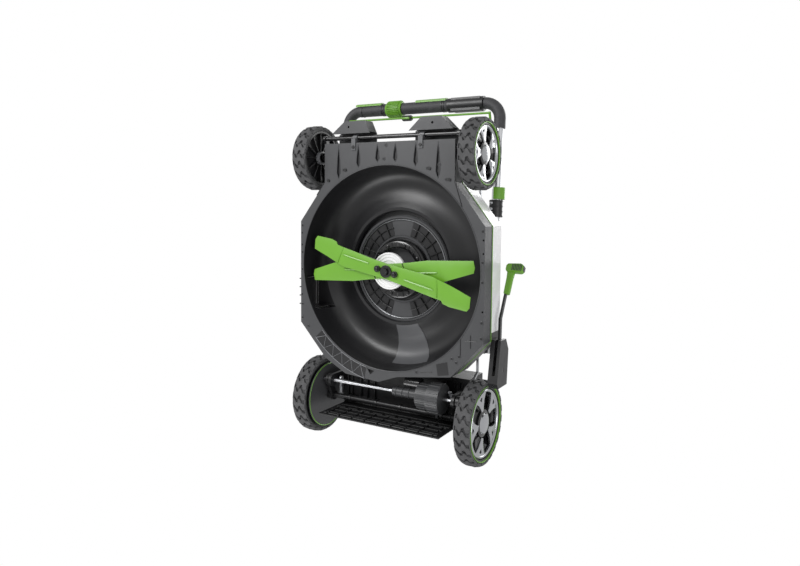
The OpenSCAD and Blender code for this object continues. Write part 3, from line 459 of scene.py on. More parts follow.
def finishes():
    """Every finish by name, made on the first call."""
    if MADE:
        return MADE
    look = settings()
    grey, black, green = tuple(look.deck_grey), tuple(look.body_black), tuple(look.accent_green)
    surfaces = {
        "deck_grey": moulded("deck_grey", grey, 0.40),
        "light_grey": moulded("light_grey", shade(grey, 4.5), 0.34),
        "mid_grey": moulded("mid_grey", shade(grey, 1.8), 0.36),
        "body_black": moulded("body_black", black, 0.36),
        "gloss_black": moulded("gloss_black", shade(black, 0.7), 0.20, depth=0.00003, Coat_Weight=0.4),
        "tunnel_black": tunnel_finish(black),
        "cover_white": moulded("cover_white", tuple(look.cover_white), 0.24, spread=0.03, depth=0.00003,
                               Coat_Weight=0.5, Coat_Roughness=0.08),
        "green": moulded("green", green, 0.36, spread=0.10),
        "blade_green": painted("blade_green", shade(green, 1.08)),
        "white_paint": painted("white_paint", (0.80, 0.80, 0.80), 0.28),
        "black_paint": painted("black_paint", shade(black, 0.8), 0.30),
        "silver": moulded("silver", (0.50, 0.51, 0.53), 0.20, spread=0.05, depth=0.00002, Metallic=1.0),
        "steel": metal("steel", (0.55, 0.56, 0.58)),
        "tube": metal("tube", (0.78, 0.79, 0.81), 0.30, (60, 1, 60)),
        "copper": metal("copper", (0.72, 0.36, 0.18), 0.35),
        "tyre": rubber("tyre", tuple(look.tyre_grey), 0.70),
        "soft_grip": rubber("soft_grip", shade(black, 3.0), 0.62, 0.0022, 0.00035),
        "flap": rubber("flap", shade(black, 0.5), 0.5, 0.003, 0.0002),
    }
    MADE.update({name: s.material for name, s in surfaces.items()})
    return MADE


# The finish of each node that doesn't take its material slot's own.
CAD_FINISH = {
    "deck_shell": "tunnel_black", "deck_skirt": "deck_grey", "bumper_plates": "deck_grey",
    "top_cover": "cover_white", "trim_strip": "green", "rear_frame": "body_black",
    "power_housing": "body_black", "battery": "deck_grey", "battery_lid": "mid_grey",
    "motor_shroud": "gloss_black", "motor_stator": "copper", "motor_rotor": "steel",
    "mount_plate": "deck_grey", "discharge_plug": "deck_grey", "side_door": "body_black",
    "rear_door": "body_black", "door_rods": "black_paint", "lever_gate": "body_black",
    # The steel screws are set black: painted shade for the dark holes they sit in.
    "lift_lever": "black_paint", "link_rod": "steel", "pivot_bolts": "steel", "screws": "black_paint",
    "blade_adapter": "white_paint", "blade_studs": "black_paint", "blade_bolt": "black_paint",
    "front_axle_rod": "black_paint", "axle_clips": "mid_grey", "rear_axle_arms": "body_black",
    "gear_covers": "deck_grey", "gear_case": "deck_grey", "drive_motor": "gloss_black",
    "drive_shaft": "steel", "front_left_rim": "body_black", "front_right_rim": "body_black",
    "rear_left_rim": "body_black", "rear_right_rim": "body_black", "handle_brackets": "black_paint",
    "handle_clamps": "body_black", "clamp_lever_left": "green", "clamp_lever_right": "green",
    "lower_tubes": "tube", "upper_tube": "tube", "grip_sleeve": "soft_grip", "control_box": "body_black",
    "speed_dial": "green", "drive_paddles": "green", "blade_bail": "green", "start_button": "green",
}
SLOT_FINISH = {
    "black_plastic": "body_black", "deck_plastic": "deck_grey", "green_plastic": "green",
    "flap_rubber": "flap", "plated_steel": "steel", "black_metal": "black_paint",
    "tyre_plastic": "tyre", "silver_plastic": "silver", "painted_blade": "blade_green",
}
# Nodes that are shown with their edges rounded, and the radius as a multiple of the edge setting.
ROUNDED = {
    "power_housing": 5.0, "battery_lid": 1.2, "rear_frame": 2.6, "top_cover": 2.6, "lever_gate": 1.2,
    "bumper_plates": 0.8, "side_door": 0.9, "rear_door": 0.9,
}


# ---- settings ----

def colour(name, description, value):
    return FloatVectorProperty(name=name, description=description, subtype="COLOR", size=3,
                               min=0, max=1, default=value)


def length(name, description, value):
    return FloatProperty(name=name, description=description, default=value, unit="LENGTH", min=0)


class MowerSettings(bpy.types.PropertyGroup):
    edge: length("Edge radius", "Rounding of the moulded parts' edges", 0.0011)
    tread_depth: length("Tread depth", "Depth of the grooves in a tyre", 0.0065)
    tread_pitch: length("Tread pitch", "Distance from one tread block to the next", 0.031)
    spokes: IntProperty(name="Spokes", description="Forked spokes on a wheel cover", default=5, min=3, max=9)
    blade_cross: FloatProperty(name="Blade cross", description="Degrees from the lower blade to the upper",
                               default=17)
    rim_ribs: IntProperty(name="Rim ribs", description="Ribs inside a front rim", default=12, min=4, max=24)
    deck_grey: colour("Deck grey", "Deck skirt and bumper plates", (0.052, 0.053, 0.056))
    body_black: colour("Body black", "Frame, housing and tunnel", (0.011, 0.011, 0.012))
    accent_green: colour("Accent green", "Grips, dial, levers and blades", (0.130, 0.330, 0.022))
    cover_white: colour("Cover white", "Top cover", (0.78, 0.78, 0.79))
    tyre_grey: colour("Tyre grey", "Tyre rubber", (0.052, 0.052, 0.054))


def settings():
    return bpy.context.scene.mower


# ---- wheels: modelled about +Z, which points away from the deck ----

def wheel_matrix(corner, side):
    """From a wheel's own axes to the frame's, with +Z away from the deck."""
    return Matrix.Translation(middle(f"{corner}_{side}_tyre")) @ Matrix.Rotation(
        SIDES[side] * math.pi / 2, 4, "Y")


def wheel_sizes(corner):
    """A wheel's radius, half its width and its rim's radius."""
    size = extent(f"{corner}_left_tyre")
    rim = extent(f"{corner}_left_rim")
    return size.z / 2, size.x / 2, rim.z / 2


def tread_block(radius, half, count, depth):
    """One zigzag block across the tread, wrapped round the tyre."""
    pitch = TURN / count
    # Shares of the half width and of the pitch along the block's middle, and its half length there.
    way = [(-1.0, 0.0), (-0.62, 0.05), (-0.34, 0.42), (-0.06, 0.42),
           (0.06, 0.08), (0.34, 0.08), (0.62, 0.45), (1.0, 0.50)]
    wide = [0.30, 0.34, 0.30, 0.36, 0.36, 0.30, 0.34, 0.30]
    front = [(w * half, (u - b) * pitch) for (w, u), b in zip(way, wide)]
    back = [(w * half, (u + b) * pitch) for (w, u), b in zip(reversed(way), reversed(wide))]

    def wrapped(w, turn):
        r = radius - (0.0035 if abs(w) > half * 0.9 else 0.0)
        return (r * math.cos(turn), r * math.sin(turn), w)

    obj = new_outline([wrapped(w, turn) for w, turn in front + back])
    with Editing(obj):
        bpy.ops.mesh.extrude_region_move()
        shrink = (radius - depth - 0.002) / radius
        bpy.ops.transform.resize(value=(shrink, shrink, 1), center_override=(0, 0, 0))
    outward(obj)
    return rounded(obj, 0.0009, 1, 40)


def shoulder_lug(radius, half, count):
    """A small block that stands out on the tyre's shoulder."""
    turn = TURN / count * 0.32
    points = [(radius - 0.0105, -turn * 0.5), (radius - 0.0045, -turn), (radius - 0.0045, turn),
              (radius - 0.0105, turn * 0.5)]
    flat = [(r * math.cos(t), r * math.sin(t)) for r, t in points]
    return rounded(plate(flat, half - 0.0032, 0.003), 0.0007, 1)


def make_tyre(corner):
    """A carcass with zigzag tread blocks and shoulder lugs."""
    radius, half, rim = wheel_sizes(corner)
    depth = settings().tread_depth
    count = round(TURN * radius / settings().tread_pitch)
    base = radius - depth
    wall = base - rim
    side = [(rim + 0.0002, 0.005), (rim + wall * 0.12, 0.0030), (rim + wall * 0.35, 0.0034),
            (rim + wall * 0.45, 0.0022), (base - wall * 0.35, 0.0022), (base - wall * 0.08, 0.0045),
            (base, 0.0095)]
    carcass = lathe([(r, -half + w) for r, w in side] + [(r, half - w) for r, w in reversed(side)], 112)
    blocks = ring_of(tread_block(radius, half - 0.0015, count, depth), count)
    lug = shoulder_lug(radius, half, count)
    other = copied(lug, Matrix.Rotation(math.pi, 4, "X"))
    lugs = [ring_of(lug, count), ring_of(other, count, start=TURN / count / 2)]
    return joined([carcass, blocks, *lugs])


def forked_spoke(inner, outer, z, thick):
    """A spoke that forks towards the rim round a small dark notch."""
    half = [(inner, 0.0058), (outer * 0.58, 0.0085), (outer * 0.78, outer * 0.21),
            (outer * 0.97, outer * 0.40), (outer * 1.05, outer * 0.22)]
    body = plate([*((x, -y) for x, y in half), (outer * 1.07, 0), *reversed(half)], z, thick)
    notch = plate([(outer * 0.80, 0), (outer * 0.93, -outer * 0.10), (outer * 0.96, 0),
                   (outer * 0.93, outer * 0.10)], z - 0.01, 0.03)
    cut(body, notch)
    return rounded(body, 0.0014)


def make_cover(corner):
    """The silver cover: forked spokes, a band at the rim and a domed cap."""
    radius, half, rim = wheel_sizes(corner)
    top = half - 0.0120
    ring = rim * 0.965
    spokes = ring_of(forked_spoke(radius * 0.33, ring * 0.86, top, 0.0065), settings().spokes)
    profile = [(0.875, 0.001), (0.885, 0.0060), (0.905, 0.0078), (0.945, 0.0084), (0.965, 0.0066), (0.965, 0.001)]
    band = lathe([(ring * share, top + h) for share, h in profile], 128)
    cap_r = radius * 0.245
    cap = lathe([(0.0, half - 0.0085), (0.0, half - 0.0010), (cap_r * 0.45, half - 0.0013),
                 (cap_r * 0.80, half - 0.0026), (cap_r * 0.93, half - 0.0042), (cap_r, half - 0.0085)])
    return joined([spokes, band, cap])


def make_dish(corner):
    """The black dish behind the cover's spokes."""
    radius, half, rim = wheel_sizes(corner)
    hub = radius * 0.32
    ring = rim - 0.0003
    return lathe([(0.012, half - 0.012), (0.012, half - 0.0078), (hub * 0.86, half - 0.0078),
                  (hub, half - 0.0095), (hub * 1.02, half - 0.016), (hub * 1.3, half - 0.021),
                  (ring * 0.80, half - 0.021), (ring * 0.93, half - 0.012), (ring * 0.97, half - 0.0045),
                  (ring, half - 0.0038), (ring, half - 0.0058), (ring * 0.97, half - 0.0065),
                  (ring * 0.92, half - 0.0145), (ring * 0.80, half - 0.0225), (hub * 1.2, half - 0.0225)])


def make_green_line(corner):
    """The thin green ring between the rim and the tyre."""
    _, half, rim = wheel_sizes(corner)
    r = rim + 0.0012
    return lathe([(r - 0.0013, half - 0.0040), (r - 0.0008, half - 0.0006), (r + 0.0008, half - 0.0006),
                  (r + 0.0013, half - 0.0040)], 128)


def make_rim_inside(corner):
    """Ribs and a lip on the side of the rim that faces the deck."""
    _, half, rim = wheel_sizes(corner)
    top = half - 0.0065
    rib = rounded(slab((-0.0012, 0.014, -0.004), (0.0012, rim - 0.005, top - 0.004)), 0.0006, 1)
    ribs = ring_of(rib, settings().rim_ribs)
    lip = lathe([(rim - 0.0055, top - 0.003), (rim - 0.0055, top), (rim - 0.001, top + 0.0015),
                 (rim - 0.001, top - 0.003)])
    inside = joined([ribs, lip])
    inside.data.transform(Matrix.Rotation(math.pi, 4, "X"))
    return inside


def make_hub_ring(corner):
    """The pale ring round the hub, on the side that faces the deck."""
    radius, half, _ = wheel_sizes(corner)
    outer = radius * 0.205
    profile = [(0.0085, 0.001), (outer * 0.7, 0.001), (outer, 0.004), (outer, 0.014), (0.0165, 0.014),
               (0.0165, 0.0025), (0.0085, 0.0025)]
    return lathe([(r, h - half) for r, h in profile], 64)


class MOWER_OT_wheels(bpy.types.Operator):
    """Builds the treaded tyres, rims and wheel covers"""
    bl_idname = "mower.wheels"
    bl_label = "Wheels"

    def execute(self, context):
        for corner in ("front", "rear"):
            makers = {
                "tyre": (make_tyre, "tyre", "tyre_plastic", True),
                "cover": (make_cover, "silver", "silver_plastic", True),
                "dish": (make_dish, "gloss_black", "black_plastic", False),
                "green_line": (make_green_line, "green", "green_plastic", False),
            }
            if corner == "front":
                makers["rim_ribs"] = (make_rim_inside, "body_black", "black_plastic", False)
                makers["hub_ring"] = (make_hub_ring, "light_grey", "deck_plastic", False)
            for part, (make, finish, slot, stands) in makers.items():
                model = make(corner)
                for side in SIDES:
                    twin = copied(model, wheel_matrix(corner, side))
                    name = f"{corner}_{side}_{part}"
                    piece(twin, name + "_shape", f"{corner}_{side}_wheel", finish,
                          (name,) if stands else ())
                bpy.data.objects.remove(model)
        return {"FINISHED"}


# ---- deck underside ----

def deck_sizes():
    """The flange's level, the tunnel's radius and centre, the deck's front and its half width."""
    low, high = corners("deck_skirt")
    shell_low, _ = corners("deck_shell")
    wall = 0.003
    return {"floor": low.z, "radius": -shell_low.x - wall, "centre": shell_low.y - shell_low.x,
            "front": low.y, "half": high.x}


def make_liner():
    """The tunnel's rounded roof and wall, from the flange to the motor plate."""
    deck = deck_sizes()
    r, z = deck["radius"], deck["floor"]
    seen = [(r - 0.0004, z + 0.0015), *roof_line(), (r - 0.121, z + 0.0775), (r - 0.1235, z + 0.082)]
    hidden = [(r - 0.1235, z + 0.0995), (r - 0.0002, z + 0.0995), (r - 0.0001, z + 0.0015)]
    lining = lathe(seen + hidden, 160, Matrix.Translation((0, deck["centre"], 0)))
    low, high = corners("side_door")
    mouth = slab((-deck["half"] - 0.01, low.y + 0.001, z + 0.012), (-0.20, high.y - 0.001, z + 0.082))
    return cut(lining, mouth)


def roof_line(drop=0.0):
    """The rounded roof's section, from the outer wall to the motor plate."""
    deck = deck_sizes()
    r, z = deck["radius"], deck["floor"] - drop
    return [(r - 0.0012, z + 0.040), (r - 0.006, z + 0.064), (r - 0.017, z + 0.082), (r - 0.034, z + 0.093),
            (r - 0.058, z + 0.0965), (r - 0.082, z + 0.092), (r - 0.100, z + 0.083), (r - 0.113, z + 0.0765)]


def tunnel_space(margin=0.0):
    """The room under the rounded roof, for cutting other pieces flush with it."""
    deck = deck_sizes()
    line = roof_line(margin)
    below = deck["floor"] - 0.02
    profile = [(0.0, below), (line[0][0], below), *line, (0.0, line[-1][1])]
    return lathe(profile, 96, Matrix.Translation((0, deck["centre"], 0)))


def make_plug():
    """The discharge plug, cut flush with the tunnel's rounded roof."""
    return cut(frame_copy("discharge_plug"), tunnel_space(-0.0005))


def make_plug_face():
    """The plug's face in the rounded roof, at the rear."""
    deck = deck_sizes()
    line = [(r, z - 0.0010) for r, z in roof_line()[1:]]
    loop = line + [(r, z + 0.0012) for r, z in reversed(line)]
    face = new_outline([(r, 0, z) for r, z in loop])
    face.data.transform(Matrix.Rotation(math.radians(93), 4, "Z"))
    with Editing(face):
        bpy.ops.mesh.spin(steps=18, angle=math.radians(24), center=(0, 0, 0), axis=(0, 0, 1))
    outward(face)
    face.data.transform(Matrix.Translation((0, deck["centre"], 0)))
    return face


def pointed_slots(front_gap, tunnel_gap, width):
    """Outlines of the pointed slots between the flange's front edge and the tunnel."""
    deck = deck_sizes()
    r = deck["radius"] + 0.003
    outlines = []
    for x in (-0.156, -0.090, -0.028, 0.028, 0.090, 0.156):
        start = deck["front"] + front_gap
        stop = deck["centre"] - math.sqrt(r * r - x * x) - tunnel_gap
        waist, belly = start + (stop - start) * 0.45, start + (stop - start) * 0.8
        outlines.append([(x, start), (x + width * 0.35, waist), (x + width / 2, belly), (x, stop),
                         (x - width / 2, belly), (x - width * 0.35, waist)])
    return outlines


def make_slot_shade_pockets():
    """Painted shade: black pockets behind the pointed slots in the front flange, so that the slots read dark."""
    z = deck_sizes()["floor"] + 0.0042
    return joined([plate(outline, z, 0.0275) for outline in pointed_slots(0.003, 0.004, 0.017)])


def make_slot_lips():
    """Raised ribs along both sides of each pointed slot."""
    z = deck_sizes()["floor"] + 0.0002
    lips = []
    for outline in pointed_slots(0.005, 0.007, 0.013):
        points = [(x, y, z) for x, y in outline]
        lips.append(pipe([*points[3:], points[0]], 0.0011, 6))
        lips.append(pipe(points[:4], 0.0011, 6))
    return joined(lips)


def make_tunnel_lip():
    """A small raised lip round the tunnel's mouth."""
    deck = deck_sizes()
    profile = [(0.0032, 0.0005), (0.0032, -0.0006), (0.0016, -0.0016), (0.0002, -0.0006), (0.0002, 0.003),
               (0.0030, 0.003)]
    return lathe([(deck["radius"] + r, deck["floor"] + h) for r, h in profile], 160,
                 Matrix.Translation((0, deck["centre"], 0)))


def flange_holes():
    """Where dark fixing holes and their raised bosses stand on the flange."""
    front = [(-0.001, -0.340), (-0.007, -0.304), (-0.138, -0.276), (-0.192, -0.247), (0.126, -0.277),
             (0.160, -0.286), (0.181, -0.247)]
    rear = [(0.203, 0.213), (0.224, 0.205), (0.216, 0.222), (-0.262, 0.176), (0.100, 0.262)]
    side = deck_sizes()["half"] - 0.0055
    return front + rear + [(s * side, y) for s in (-1, 1) for y in (-0.118, -0.040, 0.010, 0.112, 0.152)]


def make_flange_bosses():
    """A low ring round each fixing hole."""
    profile = [(0.0033, 0), (0.0033, -0.0007), (0.0040, -0.0012), (0.0050, -0.0007), (0.0052, 0)]
    z = deck_sizes()["floor"]
    return joined([lathe(profile, 20, Matrix.Translation((x, y, z))) for x, y in flange_holes()])


def make_flange_hole_shades():
    """Painted shade: a dark rod in each fixing hole, for the shade inside it."""
    z = deck_sizes()["floor"]
    return joined([rod((x, y, z - 0.0005), (x, y, z + 0.0015), 0.0034, 16) for x, y in flange_holes()])


def make_flange_groove_shades():
    """Painted shade: dark lines along the grooves and step lines of the rear left corner and the seams across the
    flange.
    """
    z = deck_sizes()["floor"] - 0.0001
    steps = [[(0.227, 0.156), (0.227, 0.205)], [(0.255, 0.146), (0.255, 0.180)],
             [(0.239, 0.162), (0.272, 0.160)], [(0.112, 0.262), (0.146, 0.256)]]
    seams = [[(-0.204, -0.244), (-0.232, -0.206)], [(0.204, -0.244), (0.226, -0.178)]]
    return joined([pipe([(x, y, z) for x, y in line], 0.0012, 6) for line in steps + seams])


def on_ring(radius, degrees):
    """The (x, y) place at that radius and turn about the tunnel's axis."""
    turn = math.radians(degrees)
    return radius * math.cos(turn), deck_sizes()["centre"] + radius * math.sin(turn)


def make_corner_shades():
    """Painted shade: a dark sheet over the recess behind the thin ribs at the rear, and over the notch beside it.
    """
    deck = deck_sizes()
    z = deck["floor"] - 0.0003
    inner, outer = deck["radius"] + 0.0045, deck["radius"] + 0.0400
    turns = range(102, 139, 3)
    rim = [on_ring(outer, t) for t in turns] + [on_ring(inner, t) for t in reversed(turns)]
    recess = plate(rim, z, 0.0006)
    notch = plate([(0.158, 0.233), (0.190, 0.223), (0.195, 0.257), (0.163, 0.263)], z, 0.0006)
    return joined([recess, notch])


def make_truss():
    """A zigzag of thin ribs along the rear of the flange, on the right, between two arcs."""
    deck = deck_sizes()
    z = deck["floor"] - 0.0007
    inner, outer = deck["radius"] + 0.006, deck["radius"] + 0.0380
    zigzag = [on_ring(inner if k % 2 else outer, 102.5 + k * 3.5) for k in range(11)]
    arcs = [[on_ring(r, t) for t in range(102, 139, 2)] for r in (inner - 0.0006, outer + 0.0006)]
    return joined([pipe([(x, y, z) for x, y in line], 0.0008, 6) for line in (zigzag, *arcs)])


def make_side_lining():
    """The black lining of the side opening, between the tunnel's wall and the door."""
    low, high = corners("side_door")
    deck = deck_sizes()
    y1, y2, z1, z2 = low.y + 0.0085, high.y - 0.0085, deck["floor"] + 0.0115, deck["floor"] + 0.0825
    x1, x2 = -deck["half"] + 0.001, -0.225
    outer = slab((x1, y1 - 0.0012, z1 - 0.0012), (x2, y2 + 0.0012, z2 + 0.0012))
    cut(outer, slab((x1 - 0.01, y1, z1), (x2 + 0.01, y2, z2)))
    return cut(outer, tunnel_space(0.0))


class MOWER_OT_underside(bpy.types.Operator):
    """Builds the tunnel's lining and the flange's slots, ribs and bosses"""
    bl_idname = "mower.underside"
    bl_label = "Deck underside"

    def execute(self, context):
        parts = [
            (make_liner, "tunnel_liner", "tunnel_black", "black_plastic"),
            (make_plug_face, "plug_face", "mid_grey", "deck_plastic"),
            (make_side_lining, "side_lining", "tunnel_black", "black_plastic"),
            (make_corner_shades, "corner_shades", "tunnel_black", "black_plastic"),
            # Painted shade behind the flange's pointed slots.
            (make_slot_shade_pockets, "slot_shade_pockets", "tunnel_black", "black_plastic"),
            (make_slot_lips, "slot_lips", "deck_grey", "deck_plastic"),
            (make_tunnel_lip, "tunnel_lip", "deck_grey", "deck_plastic"),
            (make_flange_bosses, "flange_bosses", "deck_grey", "deck_plastic"),
            (make_flange_hole_shades, "flange_hole_shades", "tunnel_black", "black_plastic"),
            # Painted shade along the flange's grooves, step lines and seams.
            (make_flange_groove_shades, "flange_groove_shades", "tunnel_black", "deck_plastic"),
            (make_truss, "flange_truss", "light_grey", "deck_plastic"),
        ]
        for make, name, finish, slot in parts:
            piece(make(), name, "chassis", finish)
        piece(make_plug(), "discharge_plug_shape", "chassis", "mid_grey", ("discharge_plug",))
        return {"FINISHED"}


# ---- motor face and blades ----

def plate_sizes():
    """The motor plate's radius and the level of the shroud's upper side."""
    return corners("mount_plate")[1].x, corners("motor_shroud")[1].z


def make_window_shades():
    """Painted shade: dark sheets in the four windows of the motor plate, for the shade in the openings."""
    radius, z = plate_sizes()
    inlays = []
    for quarter in range(0, 360, 90):
        turns = [math.radians(a) for a in range(quarter + 15, quarter + 76, 6)]
        rim = [(radius * 0.915, t) for t in turns] + [(radius * 0.64, t) for t in reversed(turns)]
        inlays.append(plate([(r * math.cos(t), r * math.sin(t)) for r, t in rim], z - 0.0008, 0.0008))
    return joined(inlays)


def make_window_fins():
    """A few deep radial fins and one arc in each window."""
    radius, top = plate_sizes()
    z, r = top - 0.0010, radius * 0.78
    fins = []
    for quarter in range(0, 360, 90):
        for k in range(4):
            fin = slab((radius * 0.65, -0.0014, z - 0.0050), (radius * 0.90, 0.0014, z + 0.0006))
            fin.data.transform(Matrix.Rotation(math.radians(quarter + 24 + k * 14), 4, "Z"))
            fins.append(rounded(fin, 0.0008, 1))
        turns = [math.radians(quarter + 16 + k * 6) for k in range(11)]
        fins.append(pipe([(r * math.cos(t), r * math.sin(t), z - 0.002) for t in turns], 0.0016, 6))
    return joined(fins)


def make_silver_ring():
    """A thin bright ring round the windows."""
    radius, z = plate_sizes()
    r = radius * 0.918
    return lathe([(r - 0.0010, z + 0.001), (r - 0.0010, z - 0.0045), (r, z - 0.0052),
                  (r + 0.0010, z - 0.0045), (r + 0.0010, z + 0.001)], 128)


def make_plate_rim():
    """Raised rims outside and inside the plate's windows."""
    radius, z = plate_sizes()
    outside = [(0.935, 0.001), (0.935, -0.004), (0.95, -0.006), (0.975, -0.006), (0.995, -0.003),
               (0.995, 0.001)]
    inside = [(0.575, 0.001), (0.575, -0.0035), (0.59, -0.005), (0.61, -0.005), (0.625, -0.003),
              (0.625, 0.001)]
    return joined([lathe([(radius * share, z + h) for share, h in rim], 128) for rim in (outside, inside)])


def make_motor_face():
    """Ribs, a ring of screws and a raised rim on the shroud's black face."""
    low, high = corners("motor_shroud")
    z, outer = low.z, high.x
    ring = lathe([(outer * 0.72, z), (outer * 0.72, z - 0.0035), (outer * 0.74, z - 0.0045),
                  (outer * 0.93, z - 0.0045), (outer * 0.95, z - 0.0035), (outer * 0.95, z)], 128)
    knob = rounded(rod((outer * 0.84, 0, z - 0.0085), (outer * 0.84, 0, z - 0.004), 0.0052), 0.001)
    knobs = ring_of(knob, 8, start=0.3)
    rib = rounded(slab((outer * 0.76, -0.0015, z - 0.0062), (outer * 0.92, 0.0015, z - 0.004)), 0.0006, 1)
    return joined([ring, knobs, ring_of(rib, 24)])


def make_adapter_rings():
    """Turned rings on the white adapter above the blades."""
    radius = corners("blade_adapter")[1].x
    z = corners("upper_blade")[1].z
    rings = []
    for inner, outer, drop in ((0.90, 0.995, 0.0030), (0.56, 0.64, 0.0022), (0.74, 0.78, 0.0016)):
        profile = [(inner, -0.0004), (inner, drop * 0.6), (inner + 0.02, drop), (outer - 0.02, drop),
                   (outer, drop * 0.6), (outer, -0.0004)]
        rings.append(lathe([(radius * share, z - h) for share, h in profile], 96))
    return joined(rings)


def blade_reach(node):
    """How far the blade's tips are from the shaft, by the corners of its own mesh."""
    return max(math.hypot(v.co.x, v.co.y) for v in frame["nodes"][node].data.vertices) - 0.0012


def lower_outline(reach):
    """The blade with the bent wings, both halves, along X."""
    half = [(0.0, 0.021), (0.055, 0.022), (0.120, 0.025), (0.176, 0.027), (0.182, 0.034), (0.200, 0.037),
            (reach - 0.006, 0.033), (reach, 0.022), (reach - 0.004, -0.006), (reach - 0.060, -0.017),
            (0.140, -0.027), (0.060, -0.024)]
    return half + [(-x, -y) for x, y in half]


def upper_outline(reach):
    """The flat blade, both halves, along X."""
    half = [(0.0, 0.020), (0.080, 0.021), (0.130, 0.027), (0.165, 0.030), (reach - 0.004, 0.008),
            (reach, -0.006), (reach - 0.003, -0.024), (0.120, -0.027), (0.060, -0.022)]
    return half + [(-x, -y) for x, y in half]


def make_blade(node, outline, turn, wing):
    """A pressed steel blade: bent wing tips, a raised rib on each arm and softly rolled edges."""
    reach = blade_reach(node)
    z = corners(node)[0].z
    bend = 0.150
    blank = plate(outline(reach), z, extent("upper_blade").z)
    modify(blank, "TRIANGULATE")
    with Editing(blank):
        for x in (-0.200, -0.176, -bend, bend, 0.176, 0.200):
            bpy.ops.mesh.select_all(action="SELECT")
            bpy.ops.mesh.bisect(plane_co=(x, 0, 0), plane_no=(1, 0, 0))
    for vertex in blank.data.vertices:
        share = max(0.0, (abs(vertex.co.x) - bend) / (reach - bend))
        vertex.co.z += wing * min(1.0, share * 2.2)
    outward(blank)
    parts = [rounded(blank, 0.0008, 2, 40)]
    for s in (-1, 1):
        ridge = [(0.060, 0.0002), (0.100, -0.0012), (0.138, -0.0012), (0.148, 0.0004)]
        parts.append(pipe([(s * x, s * 0.006, z + h) for x, h in ridge], 0.0028, 8, True))
        if wing:
            crease = [(0.152, -0.024), (0.158, 0.0), (0.163, 0.024)]
            parts.append(pipe([(s * x, y, z + 0.0004) for x, y in crease], 0.0012, 6))
    blade = joined(parts)
    blade.data.transform(Matrix.Rotation(turn, 4, "Z"))
    return blade


def stud_turn():
    """The angle of the two small bolts, which lie along the lower blade."""
    low, high = corners("blade_studs")
    radius = 0.009
    return math.atan2((high.y - low.y) / 2 - radius, (high.x - low.x) / 2 - radius)


def make_blade_washers():
    """A washer and a domed end on the bolt, and hexagon heads on the two small bolts."""
    z = corners("blade_bolt")[0].z
    washer = lathe([(0.0100, z + 0.0078), (0.0100, z + 0.0052), (0.0150, z + 0.0048), (0.0172, z + 0.0066),
                    (0.0172, z + 0.0078)], 48)
    dome = lathe([(0.0, z + 0.001), (0.0, z - 0.0022), (0.0040, z - 0.0016), (0.0068, z + 0.0008)], 32)
    base = corners("blade_studs")[0].z
    heads = joined([rounded(rod((x, 0, base - 0.0035), (x, 0, base + 0.0004), 0.0058, 6), 0.0008)
                    for x in (-0.028, 0.028)])
    heads.data.transform(Matrix.Rotation(stud_turn(), 4, "Z"))
    return joined([washer, dome, heads])


class MOWER_OT_blades(bpy.types.Operator):
    """Builds the motor's face, the two blades and their fixings"""
    bl_idname = "mower.blades"
    bl_label = "Motor face and blades"

    def execute(self, context):
        # Painted shade in the motor plate's windows.
        piece(make_window_shades(), "plate_window_shades", "chassis", "tunnel_black")
        piece(make_window_fins(), "plate_fins", "chassis", "body_black")
        piece(make_silver_ring(), "plate_silver_ring", "chassis", "steel")
        piece(make_plate_rim(), "plate_rims", "chassis", "deck_grey")
        piece(make_motor_face(), "motor_face", "chassis", "gloss_black")
        piece(make_adapter_rings(), "adapter_rings", "blades", "white_paint")
        turn = stud_turn()
        cross = math.radians(settings().blade_cross)
        for node, outline, way, wing in (("lower_blade", lower_outline, turn, 0.006),
                                         ("upper_blade", upper_outline, turn - cross, 0.0)):
            piece(make_blade(node, outline, way, wing), node + "_shape", "blades", "blade_green",
                  (node,))
        piece(make_blade_washers(), "blade_washers", "blades", "black_paint")
        return {"FINISHED"}


# ---- axles and the rear underside ----

# How far each front clip's middle is from the mower's.
CLIP_X = 0.105


def make_axle_screws():
    """A domed screw head under each axle clip, set black as painted shade for the dark holes."""
    z = corners("axle_clips")[0].z
    profile = [(0.0, -0.0016), (0.0026, -0.0022), (0.0048, -0.0008), (0.0050, 0.0012)]
    return joined([lathe(profile, 20, Matrix.Translation((x, -0.338, z))) for x in (-CLIP_X, CLIP_X)])


def make_clip_saddles():
    """A raised lip at each end of the clips' saddles over the front rod."""
    y, z = middle("front_axle_rod").y, middle("axle_clips").z
    profile = [(0.0066, -0.0016), (0.0088, -0.0010), (0.0088, 0.0010), (0.0066, 0.0016)]
    return joined([lathe(profile, 32, Matrix.Translation((x + offset, y, z)) @ ALONG_X)
                   for x in (-CLIP_X, CLIP_X) for offset in (-0.0125, 0.0125)])


def make_rear_ribs():
    """Cross ribs and rails under the black rear frame, above the reach of the tie rod."""
    parts = []
    z, thick = 0.1500, 0.0095
    for x in (-0.186, -0.172, -0.140, -0.118, -0.092, 0.142, 0.168, 0.182):
        parts.append(slab((x - 0.0012, 0.300, z), (x + 0.0012, 0.398, z + thick)))
    for y in (0.304, 0.350, 0.392):
        parts.append(slab((-0.190, y - 0.0012, z + 0.003), (-0.080, y + 0.0012, z + thick)))
    return joined([rounded(p, 0.0007, 1) for p in parts])


def spring(start, end, radius, turns, wire):
    """A coil of wire from start to end."""
    start, way = Vector(start), Vector(end) - Vector(start)
    lean = Vector((0, 0, 1)).rotation_difference(way).to_matrix()
    per_turn = 10
    points = []
    for k in range(turns * per_turn + 1):
        a = TURN * k / per_turn
        spot = Vector((radius * math.cos(a), radius * math.sin(a), way.length * k / (turns * per_turn)))
        points.append(start + lean @ spot)
    return pipe(points, wire, 5)


def make_springs():
    """Two return springs beside the rear wheels."""
    return joined([spring((0.172, 0.316, 0.106), (0.196, 0.350, 0.106), 0.0052, 12, 0.0011),
                   spring((-0.176, 0.322, 0.102), (-0.176, 0.372, 0.102), 0.0055, 14, 0.0011)])


